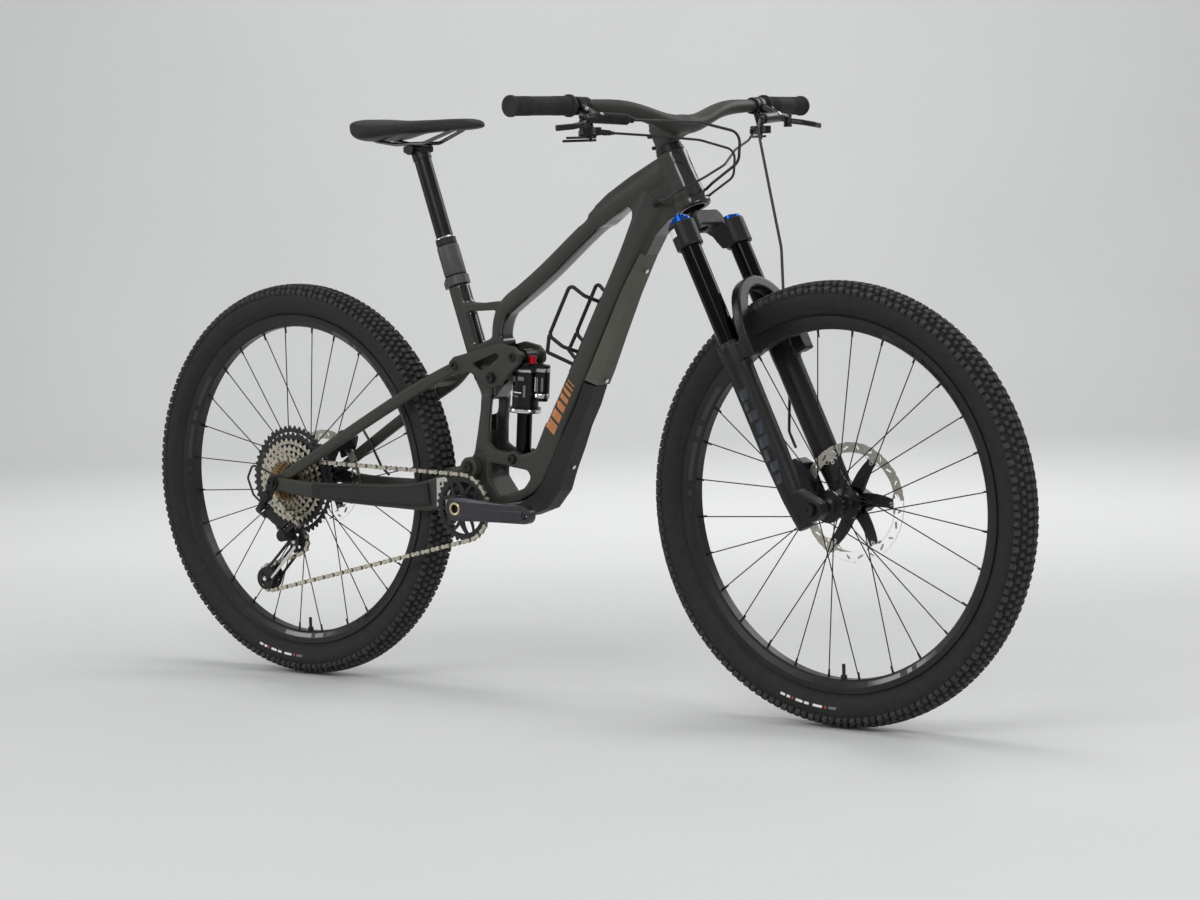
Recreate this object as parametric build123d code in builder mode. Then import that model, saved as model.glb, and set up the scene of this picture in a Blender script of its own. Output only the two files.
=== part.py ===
"""Full-suspension trail mountain bike in millimetres.

Origin on the ground midway between the wheel axles, +X towards the front wheel,
+Y to the rider's left, +Z up. The drive side is -Y.
"""
import os
from math import acos, atan2, cos, degrees, hypot, pi, radians, sin, sqrt

from build123d import *

os.makedirs("parts", exist_ok=True)

# ---------------------------------------------------------------- driving dimensions
AXLE_X = 620.0
AXLE_Z = 375.1
TYRE_R = 375.1
RIM_R = 316.5
RIM_INNER_R = 293.0
FRONT_HALF = 55.0
REAR_HALF = 74.0
FRONT_ROTOR_R = 101.5
REAR_ROTOR_R = 90.0

BB = (-172.0, 343.0)
MAIN_PIVOT = (-160.0, 416.0)
ROCKER_MID = (-105.0, 579.0)
ROCKER_REAR = (-190.0, 601.0)
SHOCK_TOP = (-51.0, 618.0)
SHOCK_LOW = (-68.0, 433.0)
LINK_PIN_R = 4.2
LINK_BORE_R = 7.4

STEER_FOOT = (580.3, 0.0, 356.0)
STEER_UP = (-0.4305, 0.0, 0.9026)
STEER_FWD = (0.9026, 0.0, 0.4305)
LEG_X = 12.0
LEG_Y = 70.0
STANCHION_R = 18.0
HT_LOW = 572.0
HT_TOP = 678.0

CRANK_LEN = 175.0
CHAIN_Y = -52.0
RING_PITCH_R = 60.7
COG_PITCH_R = 42.6
PULLEY_PITCH_R = 24.5
GUIDE = (-592.0, 262.0)
TENSION = (-673.0, 187.0)
CAGE_PIVOT = (-599.0, 276.0)
HANGER = (-634.0, 350.0)
LINK_END = (-604.0, 296.0)

SEAT_TOP = (-212.0, 755.0)
SEAT_SLOPE = 0.3346
DROP_R = 17.45
POST_R = 15.9
BAR_END = 410.0

STEER = Plane(origin=STEER_FOOT, x_dir=STEER_FWD, z_dir=STEER_UP)
STEER_SIDE = Plane(origin=STEER_FOOT, x_dir=STEER_FWD, z_dir=(0, -1, 0))


# ---------------------------------------------------------------- helpers
def side(y):
    """Side-view plane at height y: local x is +X and local y is +Z, extruding to -Y."""
    return Plane(origin=(0, y, 0), x_dir=(1, 0, 0), z_dir=(0, -1, 0))


def plate(points, y_low, y_high, radius=0.0, mode=Mode.ADD):
    """Extrude a side-view outline of (x, z) points between two y values."""
    with BuildSketch(side(y_high)) as outline:
        with BuildLine():
            if radius:
                FilletPolyline(*points, radius=radius, close=True)
            else:
                Polyline(*points, close=True)
        make_face()
    extrude(outline.sketch, amount=y_high - y_low, mode=mode)


def y_rod(x, z, r, y_low, y_high, mode=Mode.ADD):
    """Cylinder along Y."""
    with BuildSketch(side(y_high)) as disc:
        with Locations((x, z)):
            Circle(r)
    extrude(disc.sketch, amount=y_high - y_low, mode=mode)


def y_ring(x, z, r_out, r_in, y_low, y_high, mode=Mode.ADD):
    """Tube along Y."""
    with BuildSketch(side(y_high)) as ring:
        with Locations((x, z)):
            Circle(r_out)
            Circle(r_in, mode=Mode.SUBTRACT)
    extrude(ring.sketch, amount=y_high - y_low, mode=mode)


def rod(start, end, r, mode=Mode.ADD):
    """Cylinder between two points."""
    a = Vector(*start)
    b = Vector(*end)
    with BuildSketch(Plane(origin=a, z_dir=b - a)) as disc:
        Circle(r)
    extrude(disc.sketch, amount=(b - a).length, mode=mode)


def beam(stations, round_part=0.42, mode=Mode.ADD):
    """Loft rounded rectangles (x, y, z, width across, depth) along a run."""
    centres = [Vector(s[0], s[1], s[2]) for s in stations]
    last = len(centres) - 1
    sections = []
    for i, s in enumerate(stations):
        along = (centres[min(i + 1, last)] - centres[max(i - 1, 0)]).normalized()
        across = Vector(0, 1, 0) - along * along.Y
        with BuildSketch(Plane(origin=centres[i], x_dir=across, z_dir=along)) as section:
            RectangleRounded(s[3], s[4], min(s[3], s[4]) * round_part)
        sections.append(section.sketch)
    loft(sections, mode=mode)


def lathe(profile, plane=Plane.XZ, mode=Mode.ADD):
    """Revolve a closed (radius, height) profile about the plane's local y axis."""
    with BuildSketch(plane) as outline:
        with BuildLine():
            Polyline(*profile, close=True)
        make_face()
    revolve(outline.sketch, axis=Axis(plane.origin, plane.y_dir), mode=mode)


def wheel_plane(x, z):
    """Plane whose local x is radial and local y is the axle direction +Y."""
    return Plane(origin=(x, 0, z), x_dir=(1, 0, 0), z_dir=(0, 0, 1))


def hose(points, r, bend):
    """Flexible line of circular section along filleted runs."""
    with BuildLine() as run:
        FilletPolyline(*points, radius=bend)
    with BuildSketch(Plane(origin=run.line @ 0, z_dir=run.line % 0)) as section:
        Circle(r)
    sweep(section.sketch, path=run.line)


def flip(points, s):
    """Stations on the left (s = 1) or right (s = -1) side."""
    return [(p[0], p[1] * s) + tuple(p[2:]) for p in points]


def save(part, label):
    part.label = label
    export_step(part, f"parts/{label}.step")


SEAT_UP = (-SEAT_SLOPE / sqrt(1 + SEAT_SLOPE ** 2), 0.0, 1 / sqrt(1 + SEAT_SLOPE ** 2))
SEAT = Plane(origin=(SEAT_TOP[0], 0, SEAT_TOP[1]), x_dir=(SEAT_UP[2], 0, -SEAT_UP[0]), z_dir=SEAT_UP)


def tube_on(plane, r_out, r_in, low, high, x=0.0, y=0.0, mode=Mode.ADD):
    """Tube or rod along a plane's normal between two heights."""
    with BuildSketch(plane.offset(low)) as ring:
        with Locations((x, y)):
            Circle(r_out)
            if r_in:
                Circle(r_in, mode=Mode.SUBTRACT)
    extrude(ring.sketch, amount=high - low, mode=mode)


# ---------------------------------------------------------------- main frame
with BuildPart() as top_tube:
    beam([
        (-105.0, 0, 570.0, 38, 24),
        (-107.5, 0, 612.0, 39, 24),
        (-107.5, 0, 650.0, 40, 25),
        (-101.0, 0, 683.0, 41, 28),
        (-81.0, 0, 710.0, 42, 31),
        (-56.0, 0, 726.0, 42, 31),
    ], 0.34)
    beam([
        (-92.0, 0, 701.0, 42, 31),
        (-31.0, 0, 741.0, 42, 32),
        (58.0, 0, 804.0, 42, 32),
        (137.0, 0, 860.0, 43, 32),
        (212.0, 0, 900.0, 46, 34),
        (285.0, 0, 938.0, 50, 38),
    ], 0.34)

with BuildPart() as down_tube:
    beam([
        (266.0, 0, 893.0, 50, 62),
        (240.0, 0, 853.0, 55, 56),
        (214.0, 0, 808.0, 60, 43),
        (166.0, 0, 727.0, 62, 36),
        (112.0, 0, 632.0, 62, 37),
        (64.0, 0, 549.0, 62, 41),
        (24.0, 0, 480.0, 62, 43),
        (-1.0, 0, 434.0, 62, 43),
    ], 0.26)

with BuildPart() as head_gusset:
    plate([(112, 868), (160, 903), (212, 932), (262, 956), (292, 970), (320, 915), (338, 872),
           (318, 866), (290, 852), (262, 828), (240, 795), (205, 752), (180, 764), (196, 812),
           (213, 850), (214, 872), (204, 879), (188, 873), (150, 848), (124, 838)],
          -20.5, 20.5, 4.0)

with BuildPart() as cradle:
    plate([
        (-108, 588), (-116, 540), (-123, 492), (-125, 458), (-110, 449), (-54, 441), (-30, 446),
        (-14, 453), (12, 502), (48, 478), (28, 441), (-1, 391), (-24, 372), (-58, 357),
        (-96, 349), (-128, 334), (-146, 319), (-172, 317), (-192, 327), (-197, 345),
        (-188, 362), (-170, 378), (-168, 396), (-168, 430), (-158, 450), (-151, 478),
        (-142, 520), (-139, 545), (-150, 572), (-140, 600), (-112, 600),
    ], -31, 31, 3.0)
    fillet(cradle.edges().filter_by(GeomType.LINE).filter_by(
        lambda e: abs(e.tangent_at(0).Y) < 0.5).filter_by(lambda e: e.length > 24), 4.0)
    plate([(-124, 425), (-34, 413), (-27, 400), (-44, 381), (-100, 362), (-128, 398)],
          -40, 40, 8.0, Mode.SUBTRACT)
    plate([
        (-136, 560), (-143, 520), (-145, 480), (-146, 456), (-128, 402), (-40, 402), (-14, 430),
        (16, 500), (0, 560), (-60, 556), (-92, 556),
    ], -19.5, 19.5, 6.0, Mode.SUBTRACT)
    for low, high in ((-40, -28.4), (28.4, 40)):
        plate([(-225, 296), (-225, 447), (-134, 447), (-134, 390), (-150, 372), (-150, 296)],
              low, high, 0, Mode.SUBTRACT)
        plate([(-180, 545), (-180, 625), (-80, 625), (-80, 545)], low, high, 0, Mode.SUBTRACT)
    y_rod(MAIN_PIVOT[0], MAIN_PIVOT[1], 20, -28.4, 28.4)
    y_rod(BB[0], BB[1], 24.5, -36.5, 36.5)

with BuildPart() as seat_stub:
    tube_on(SEAT, 19.6, 0, -190, -12)
    plate([(-178, 640), (-160, 634), (-118, 650), (-92, 650), (-92, 566), (-116, 540),
           (-140, 536), (-164, 580)], -20, 20, 8.0)
    plate([(-198, 698), (-196, 714), (-150, 712), (-104, 716), (-96, 700), (-150, 698)],
          -14, 14, 1.5)

with BuildPart() as main_frame:
    tube_on(STEER, 27.5, 0, HT_LOW, HT_TOP)
    lathe([(0, 572), (33, 572), (33, 584), (29, 606), (27, 640), (27, 678), (0, 678)],
          STEER_SIDE)
    add(top_tube.part)
    add(down_tube.part)
    add(head_gusset.part)
    add(cradle.part)
    add(seat_stub.part)
    y_rod(SHOCK_LOW[0], SHOCK_LOW[1], 15, -31, -15.5)
    y_rod(SHOCK_LOW[0], SHOCK_LOW[1], 15, 15.5, 31)
    tube_on(STEER, 21.9, 0, HT_LOW - 20, HT_TOP + 20, mode=Mode.SUBTRACT)
    tube_on(STEER, 27.6, 0, HT_LOW - 20, HT_LOW + 10, mode=Mode.SUBTRACT)
    tube_on(SEAT, DROP_R + 0.05, 0, -158, 10, mode=Mode.SUBTRACT)
    y_rod(BB[0], BB[1], 20.5, -40, 40, Mode.SUBTRACT)
    y_rod(MAIN_PIVOT[0], MAIN_PIVOT[1], 8.0, -40, 40, Mode.SUBTRACT)
    y_rod(ROCKER_MID[0], ROCKER_MID[1], 8.0, -40, 40, Mode.SUBTRACT)
    y_rod(SHOCK_LOW[0], SHOCK_LOW[1], 5.0, -40, 40, Mode.SUBTRACT)
save(main_frame.part, "main_frame")


def keel(stations, lift):
    """Loft of a faceted guard: (x, z, depth, base half width, tip half width) below the tube."""
    sections = []
    last = len(stations) - 1
    for i, s in enumerate(stations):
        a = stations[max(i - 1, 0)]
        b = stations[min(i + 1, last)]
        run = Vector(b[0] - a[0], 0, b[1] - a[1])
        with BuildSketch(Plane(origin=(s[0], 0, s[1]), x_dir=(0, 1, 0), z_dir=run)) as section:
            with BuildLine():
                Polyline((-s[3], lift), (s[3], lift), (s[4], lift + s[2]), (-s[4], lift + s[2]), close=True)
            make_face()
        sections.append(section.sketch)
    loft(sections, ruled=True)


with BuildPart() as guard_upper:
    keel([(234, 799, 7, 26, 17), (192, 734, 12, 29, 17), (154, 664, 15, 30, 17),
          (119, 602, 20, 30, 17), (105, 578, 20, 30, 18)], 0.4)
save(guard_upper.part, "guard_upper")

with BuildPart() as guard_lower:
    keel([(102, 573, 16, 30, 18), (86, 539, 17, 30, 18), (64, 503, 18, 30, 18),
          (42, 467, 24, 30, 18), (19, 427, 27, 30, 18), (2, 396, 32, 30, 18),
          (-22, 371, 33, 30, 18), (-56, 354, 26, 30, 18), (-88, 346, 12, 30, 20)], 1.0)
save(guard_lower.part, "guard_lower")

with BuildPart() as bottle_cage:
    for s in (-1, 1):
        with BuildLine() as wing:
            FilletPolyline((74, 9 * s, 626), (60, 32 * s, 636), (34, 38 * s, 656),
                           (50, 38 * s, 684), (86, 38 * s, 746), (112, 32 * s, 726), (128, 9 * s, 714),
                           radius=9)
        with BuildSketch(Plane(origin=wing.line @ 0, z_dir=wing.line % 0)) as wire:
            Circle(3.4)
        sweep(wire.sketch, path=wing.line)
        rod((62, 9 * s, 604), (22, 30 * s, 626), 3.4)
        rod((22, 30 * s, 626), (34, 38 * s, 656), 3.4)
    beam([(56, 0, 590, 24, 4), (91, 0, 650, 24, 4), (132, 0, 721, 24, 4)], 0.3)
with BuildPart() as storage_door:
    beam([(34, 0, 541, 40, 2.4), (64, 0, 592, 40, 2.4), (102, 0, 657, 40, 2.4),
          (138, 0, 718, 40, 2.4)], 0.3)
cage_group = Compound(children=[bottle_cage.part, storage_door.part])
save(cage_group, "bottle_cage")

with BuildPart() as upper_cup:
    tube_on(STEER, 25.0, 15.2, HT_TOP, HT_TOP + 6)
    tube_on(STEER, 21.8, 15.2, HT_TOP - 9, HT_TOP)
with BuildPart() as lower_cup:
    tube_on(STEER, 27.5, 20.4, HT_LOW, HT_LOW + 9)
with BuildPart() as bb_right:
    y_ring(BB[0], BB[1], 22.5, 14.6, -46.0, -36.6)
    y_ring(BB[0], BB[1], 20.4, 14.6, -36.6, -26.0)
with BuildPart() as bb_left:
    y_ring(BB[0], BB[1], 22.5, 14.6, 36.6, 46.0)
    y_ring(BB[0], BB[1], 20.4, 14.6, 26.0, 36.6)
bearings = Compound(children=[upper_cup.part, lower_cup.part, bb_right.part, bb_left.part])
save(bearings, "frame_bearings")

with BuildPart() as seat_clamp:
    tube_on(SEAT, 22.5, DROP_R + 0.1, -11.5, 4.5)
    tube_on(SEAT, 6.0, 0, -10.0, 3.0, x=-25.5)
    tube_on(SEAT, DROP_R + 0.1, 0, -20, 10, mode=Mode.SUBTRACT)
save(seat_clamp.part, "seat_clamp")

DROP_TOP = 78.0
with BuildPart() as dropper_tube:
    tube_on(SEAT, DROP_R, POST_R + 0.08, -150, DROP_TOP - 12)
    tube_on(SEAT, 19.0, POST_R + 0.08, DROP_TOP - 12, DROP_TOP)
    tube_on(SEAT, DROP_R, 0, -156, -150)
save(dropper_tube.part, "dropper_tube")

with BuildPart() as main_axle:
    y_rod(MAIN_PIVOT[0], MAIN_PIVOT[1], 7.9, -47.5, 47.5)
    y_rod(MAIN_PIVOT[0], MAIN_PIVOT[1], 11.0, -49.0, -47.5)
    y_rod(MAIN_PIVOT[0], MAIN_PIVOT[1], 11.0, 47.5, 49.0)
with BuildPart() as rocker_axle:
    y_rod(ROCKER_MID[0], ROCKER_MID[1], 7.9, -39.5, 39.5)
    y_rod(ROCKER_MID[0], ROCKER_MID[1], 10.0, -42.5, -39.5)
    y_rod(ROCKER_MID[0], ROCKER_MID[1], 10.0, 39.5, 42.5)
with BuildPart() as shock_bolt:
    y_rod(SHOCK_LOW[0], SHOCK_LOW[1], 4.9, -31.0, 31.0)
    y_rod(SHOCK_LOW[0], SHOCK_LOW[1], 9.0, -34.0, -31.0)
    y_rod(SHOCK_LOW[0], SHOCK_LOW[1], 9.0, 31.0, 34.0)
hardware = [main_axle.part, rocker_axle.part, shock_bolt.part]
for gx, gz, depth in ((220, 771, 9.5), (113, 585, 21.5), (26, 433, 28.0)):
    with BuildPart() as guard_screw:
        rod((gx + 0.86 * (depth - 3), 0, gz - 0.5 * (depth - 3)),
            (gx + 0.86 * (depth + 0.4), 0, gz - 0.5 * (depth + 0.4)), 4.0)
    hardware.append(guard_screw.part)
save(Compound(children=hardware), "frame_hardware")

# ---------------------------------------------------------------- fork, steering side
with BuildPart() as fork_crown:
    with BuildSketch(Plane(origin=STEER.from_local_coords(Vector(-21, 0, 0)), x_dir=(0, 1, 0),
                           z_dir=STEER_FWD)) as arch:
        with BuildLine():
            FilletPolyline((-94, 496), (-94, 540.9), (-50, 540.9), (-30, 559.6), (30, 559.6), (50, 540.9),
                           (94, 540.9), (94, 496), (47, 496), (40, 524), (28, 532.5), (-28, 532.5),
                           (-40, 524), (-47, 496), radius=4, close=True)
        make_face()
    extrude(arch.sketch, amount=50)
    for s in (-1, 1):
        tube_on(STEER, 23.5, 0, 495, 541, LEG_X, LEG_Y * s)
    with BuildSketch(STEER.offset(480)) as trim:
        Rectangle(300, 300)
        with Locations((4, 0)):
            RectangleRounded(40, 100, 16, mode=Mode.SUBTRACT)
        with Locations((LEG_X, LEG_Y), (LEG_X, -LEG_Y)):
            Circle(23.6, mode=Mode.SUBTRACT)
    extrude(trim.sketch, amount=120, mode=Mode.SUBTRACT)
    lathe([(0, 556), (26, 556), (24, 560), (20.2, 566), (20.2, 581), (14.3, 584), (14.3, 733),
           (12.4, 733), (12.4, 540), (0, 540)], STEER_SIDE)
    tube_on(STEER, 12.3, 0, 520, 745, mode=Mode.SUBTRACT)
    for s in (-1, 1):
        tube_on(STEER, STANCHION_R, 0, 480, 537, LEG_X, LEG_Y * s, mode=Mode.SUBTRACT)
save(fork_crown.part, "fork_crown")

legs = []
for s in (-1, 1):
    with BuildPart() as stanchion:
        tube_on(STEER, STANCHION_R - 0.05, 14.5, 214, 536, LEG_X, LEG_Y * s)
    legs.append(stanchion.part)
save(Compound(children=legs), "fork_stanchions")

BAR_RUN = [(314, 0, 1018, 46, 33), (313, 38, 1020, 43, 31), (309, 80, 1031, 38, 28),
           (303, 130, 1043, 32, 27), (298, 180, 1048, 26, 25), (293, 235, 1049.5, 22.2, 22.2),
           (285, 320, 1050, 22.2, 22.2), (276.5, BAR_END - 4, 1050, 22.2, 22.2)]


def bar_half(s):
    """Half of the handlebar: (x, y, z, fore-aft, height) stations outwards along Y."""
    sections = []
    for x, y, z, fore, high in BAR_RUN:
        tilt = Vector(-0.09, 1, 0) if y > 60 else Vector(0, 1, 0)
        across = Plane(origin=(x, y * s, z), x_dir=(1, 0.09 * s if y > 60 else 0, 0),
                       z_dir=(tilt.X, s, 0))
        with BuildSketch(across) as section:
            Ellipse(fore / 2, high / 2)
        sections.append(section.sketch)
    loft(sections)


with BuildPart() as handlebar_stem:
    bar_half(1)
    bar_half(-1)
    tube_on(STEER, 20.5, 0, 690.5, 733, 0, 0)
    with BuildSketch(STEER.offset(696)) as neck:
        with BuildLine():
            Polyline((-6, -20), (44, -17), (44, 17), (-6, 20), close=True)
        make_face()
    extrude(neck.sketch, amount=31)
    tube_on(STEER, 14.35, 0, 680, 740, mode=Mode.SUBTRACT)
    with BuildSketch(STEER.offset(685)) as slit:
        with Locations((-18, 0)):
            Rectangle(12, 2.5)
    extrude(slit.sketch, amount=60, mode=Mode.SUBTRACT)
save(handlebar_stem.part, "handlebar_stem")

with BuildPart() as spacer:
    tube_on(STEER, 23.5, 14.4, 684.3, 690.3)
with BuildPart() as top_cap:
    tube_on(STEER, 18.0, 0, 733.2, 738)
small = [spacer.part, top_cap.part]
for h in (700, 722):
    with BuildPart() as pinch:
        a = STEER.from_local_coords(Vector(-22.5, -11, h))
        b = STEER.from_local_coords(Vector(-22.5, 11, h))
        rod((a.X, a.Y, a.Z), (b.X, b.Y, b.Z), 3.4)
    small.append(pinch.part)
for s in (-1, 1):
    with BuildPart() as leg_cap:
        tube_on(STEER, 19.0, 0, 541.1, 546, LEG_X, LEG_Y * s)
        if s > 0:
            tube_on(STEER, 9.0, 0, 546, 550, LEG_X, LEG_Y * s)
    small.append(leg_cap.part)
save(Compound(children=small), "steering_hardware")


def bar_at(y):
    """Centre of the handlebar at a distance y from the centre plane."""
    rows = BAR_RUN
    for a, b in zip(rows, rows[1:]):
        if a[1] <= y <= b[1]:
            f = (y - a[1]) / (b[1] - a[1])
            return (a[0] + f * (b[0] - a[0]), y, a[2] + f * (b[2] - a[2]))
    return (rows[-1][0], y, rows[-1][2])


def on_bar(y_in, y_out, s, r_out, r_in, mode=Mode.ADD):
    """Ring around one end of the handlebar."""
    a = bar_at(y_in)
    b = bar_at(y_out)
    start = Vector(a[0], a[1] * s, a[2])
    end = Vector(b[0], b[1] * s, b[2])
    with BuildSketch(Plane(origin=start, z_dir=end - start)) as ring:
        Circle(r_out)
        if r_in:
            Circle(r_in, mode=Mode.SUBTRACT)
    extrude(ring.sketch, amount=(end - start).length, mode=mode)


grip_set = []
for s in (-1, 1):
    start = Vector(bar_at(270)[0], 270 * s, bar_at(270)[2])
    end = Vector(bar_at(BAR_END)[0], BAR_END * s, bar_at(BAR_END)[2])
    length = (end - start).length
    along = Plane(origin=start, z_dir=end - start)
    with BuildPart() as grip:
        for low, high, r in ((0, length - 4, 16.5), (0, 8, 19.0), (length - 8, length, 18.0)):
            tube_on(along, r, 0, low, high)
        tube_on(along, 11.3, 0, -5, length - 4, mode=Mode.SUBTRACT)
    grip_set.append(grip.part)
save(Compound(children=grip_set), "grips")

LEVER_PIVOT = (331.0, 288.0, 1021.0)
body_set = []
for s in (-1, 1):
    with BuildPart() as brake_body:
        on_bar(246, 260, s, 15.5, 0)
        rod((330, 262 * s, 1029), (346, 192 * s, 1025), 9.5)
        rod((346, 194 * s, 1025), (349, 180 * s, 1024), 5.5)
        rod((300, 253 * s, 1046), (330, 258 * s, 1030), 9.0)
        rod((330, 262 * s, 1029), (LEVER_PIVOT[0], 291 * s, LEVER_PIVOT[2] + 3.5), 8.0)
        rod((LEVER_PIVOT[0], LEVER_PIVOT[1] * s, 1010.5), (LEVER_PIVOT[0], LEVER_PIVOT[1] * s, 1033), 7.5)
        rod((LEVER_PIVOT[0], LEVER_PIVOT[1] * s, 1015.5), (LEVER_PIVOT[0], LEVER_PIVOT[1] * s, 1026.5),
            16.0, Mode.SUBTRACT)
        rod((LEVER_PIVOT[0], LEVER_PIVOT[1] * s, 1010.5), (LEVER_PIVOT[0], LEVER_PIVOT[1] * s, 1033), 2.9)
        on_bar(240, 268, s, 11.6, 0, Mode.SUBTRACT)
    body_set.append(brake_body.part)
save(Compound(children=body_set), "brake_bodies")

for s, name in ((-1, "brake_lever_right"), (1, "brake_lever_left")):
    with BuildPart() as lever:
        rod((LEVER_PIVOT[0], LEVER_PIVOT[1] * s, 1015.8), (LEVER_PIVOT[0], LEVER_PIVOT[1] * s, 1026.2), 7.2)
        with BuildLine() as blade:
            FilletPolyline((LEVER_PIVOT[0] + 4, (LEVER_PIVOT[1] + 1) * s, 1021),
                           (348, 309 * s, 1018), (352, 340 * s, 1014), (342, 372 * s, 1012), radius=14)
        with BuildSketch(Plane(origin=blade.line @ 0, x_dir=(0, 0, 1), z_dir=blade.line % 0)) as shape:
            RectangleRounded(10, 6, 2.6)
        sweep(shape.sketch, path=blade.line)
        rod((LEVER_PIVOT[0], LEVER_PIVOT[1] * s, 1010), (LEVER_PIVOT[0], LEVER_PIVOT[1] * s, 1030), 2.95,
            Mode.SUBTRACT)
    save(lever.part, name)

# ---------------------------------------------------------------- bar controls
pods = []
for s in (-1, 1):
    with BuildPart() as pod:
        rod((306, 240 * s, 1000), (306, 240 * s, 1013.5), 18.5)
        rod((306, 240 * s, 1012), (300, 238 * s, 1036), 6.0)
        rod((306, 232 * s, 1007), (316, 208 * s, 1004), 5.0)
        on_bar(232, 243, s, 15.0, 0)
        on_bar(228, 248, s, 11.9, 0, Mode.SUBTRACT)
        rod((306, 240 * s, 990), (306, 240 * s, 1001), 3.0)
    pods.append(pod.part)
save(Compound(children=pods), "control_pods")


def thumb_lever(s, z, reach_x, reach_y, label):
    """Flat thumb lever turning on the pod's pin."""
    with BuildPart() as lever_part:
        with BuildSketch(Plane.XY.offset(z)) as outline:
            with BuildLine():
                Polyline((306, 231 * s), (reach_x, (reach_y - 9) * s), (reach_x - 10, reach_y * s),
                         (reach_x - 3, (reach_y + 9) * s), (306, 249 * s), close=True)
            make_face()
            with Locations((306, 240 * s)):
                Circle(9.5)
                Circle(3.08, mode=Mode.SUBTRACT)
        extrude(outline.sketch, amount=4.0)
    save(lever_part.part, label)


thumb_lever(-1, 990.3, 274, 262, "shift_lever_main")
thumb_lever(-1, 995.3, 287, 268, "shift_lever_release")
thumb_lever(1, 993.0, 276, 262, "dropper_lever")

with BuildPart() as compression_dial:
    tube_on(STEER, 13.0, 0, 546.3, 551.5, LEG_X, -LEG_Y)
    tube_on(STEER, 7.0, 0, 551.5, 555.5, LEG_X, -LEG_Y)
save(compression_dial.part, "compression_dial")

# ---------------------------------------------------------------- fork lowers
with BuildPart() as fork_lowers:
    for s in (-1, 1):
        leg = []
        for z, x, y, r in ((311, 0, 0, 24.3), (282, 0, 0, 24.3), (262, 0, 0, 23.3), (120, 0, 0, 22.8),
                           (34, 0.5, 0.5, 19.5), (0, 1, 0.5, 16.5), (-22, 1, 0.5, 13.5)):
            with BuildSketch(STEER.offset(z)) as section:
                with Locations((LEG_X + x, (LEG_Y + y) * s)):
                    Circle(r)
            leg.append(section.sketch)
        loft(leg, ruled=True)
        with BuildSketch(Plane(origin=STEER.from_local_coords(Vector(0, 84 if s > 0 else -56, 0)),
                               x_dir=STEER_FWD, z_dir=(0, -1, 0))) as lug:
            with BuildLine():
                FilletPolyline((4, 42), (24, 48), (52, 17), (62, 3), (58, -15), (44, -20), (24, -16),
                               (4, -8), radius=5, close=True)
            make_face()
        extrude(lug.sketch, amount=28)
    with BuildSketch(Plane(origin=STEER.from_local_coords(Vector(42, 0, 0)), x_dir=(0, 1, 0),
                           z_dir=STEER_FWD)) as arch:
        with BuildLine():
            Spline((-87, 276), (-86, 316), (-74, 362), (-48, 400), (0, 417), (48, 400), (74, 362),
                   (86, 316), (87, 276))
            Line((87, 276), (60, 276))
            Spline((60, 276), (57, 322), (49, 358), (30, 386), (0, 397), (-30, 386), (-49, 358),
                   (-57, 322), (-60, 276))
            Line((-60, 276), (-87, 276))
        make_face()
    extrude(arch.sketch, amount=19)
    for s in (-1, 1):
        with BuildSketch(STEER.offset(278)) as post:
            with Locations((36, 73 * s)):
                RectangleRounded(44, 26, 6)
        extrude(post.sketch, amount=32)
    for s in (-1, 1):
        tube_on(STEER, STANCHION_R + 0.02, 0, 60, 340, LEG_X, LEG_Y * s, Mode.SUBTRACT)
    y_rod(AXLE_X, AXLE_Z, 7.5, -100, 100, Mode.SUBTRACT)
    for s in (-1, 1):
        tube_on(STEER, 22.4, STANCHION_R + 0.02, 311, 318, LEG_X, LEG_Y * s)
save(fork_lowers.part, "fork_lowers")

with BuildPart() as front_axle:
    y_rod(AXLE_X, AXLE_Z, 7.45, -87.0, 86.0)
    y_rod(AXLE_X, AXLE_Z, 10.0, -90.0, -86.5)
    y_rod(AXLE_X, AXLE_Z, 3.0, -90.0, -84.0, Mode.SUBTRACT)
save(front_axle.part, "front_axle")

CALIPER_SIDE = Plane(origin=STEER.from_local_coords(Vector(0, 58, 0)), x_dir=STEER_FWD, z_dir=(0, -1, 0))
with BuildPart() as front_caliper:
    with BuildSketch(CALIPER_SIDE) as block:
        with BuildLine():
            FilletPolyline((-52, 58), (-44, 108), (-22, 112), (-10.5, 96), (-10.5, 40), (-36, 36),
                           radius=6, close=True)
        make_face()
    extrude(block.sketch, amount=34)
    with BuildSketch(CALIPER_SIDE.offset(16)) as slot:
        with Locations((44, 0)):
            Circle(104)
    extrude(slot.sketch, amount=4, mode=Mode.SUBTRACT)
save(front_caliper.part, "front_caliper")


# ---------------------------------------------------------------- wheels
def tyre(x, label):
    """Hollow tyre to the tips of its knobs."""
    with BuildPart() as part:
        lathe([(310, -15.2), (317, -15.4), (322, -20), (332, -28), (345, -31.2), (355, -31.4),
               (363, -30.2), (371, -22), (TYRE_R, -8), (TYRE_R, 8), (371, 22), (363, 30.2),
               (355, 31.4), (345, 31.2), (332, 28), (322, 20), (317, 15.4), (310, 15.2),
               (310, 11), (318, 12.5), (333, 24), (346, 27.5), (356, 27), (366, 17), (369, 6),
               (369, -6), (366, -17), (356, -27), (346, -27.5), (333, -24), (318, -12.5), (310, -11)],
              wheel_plane(x, AXLE_Z))
    save(part.part, label)


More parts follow.
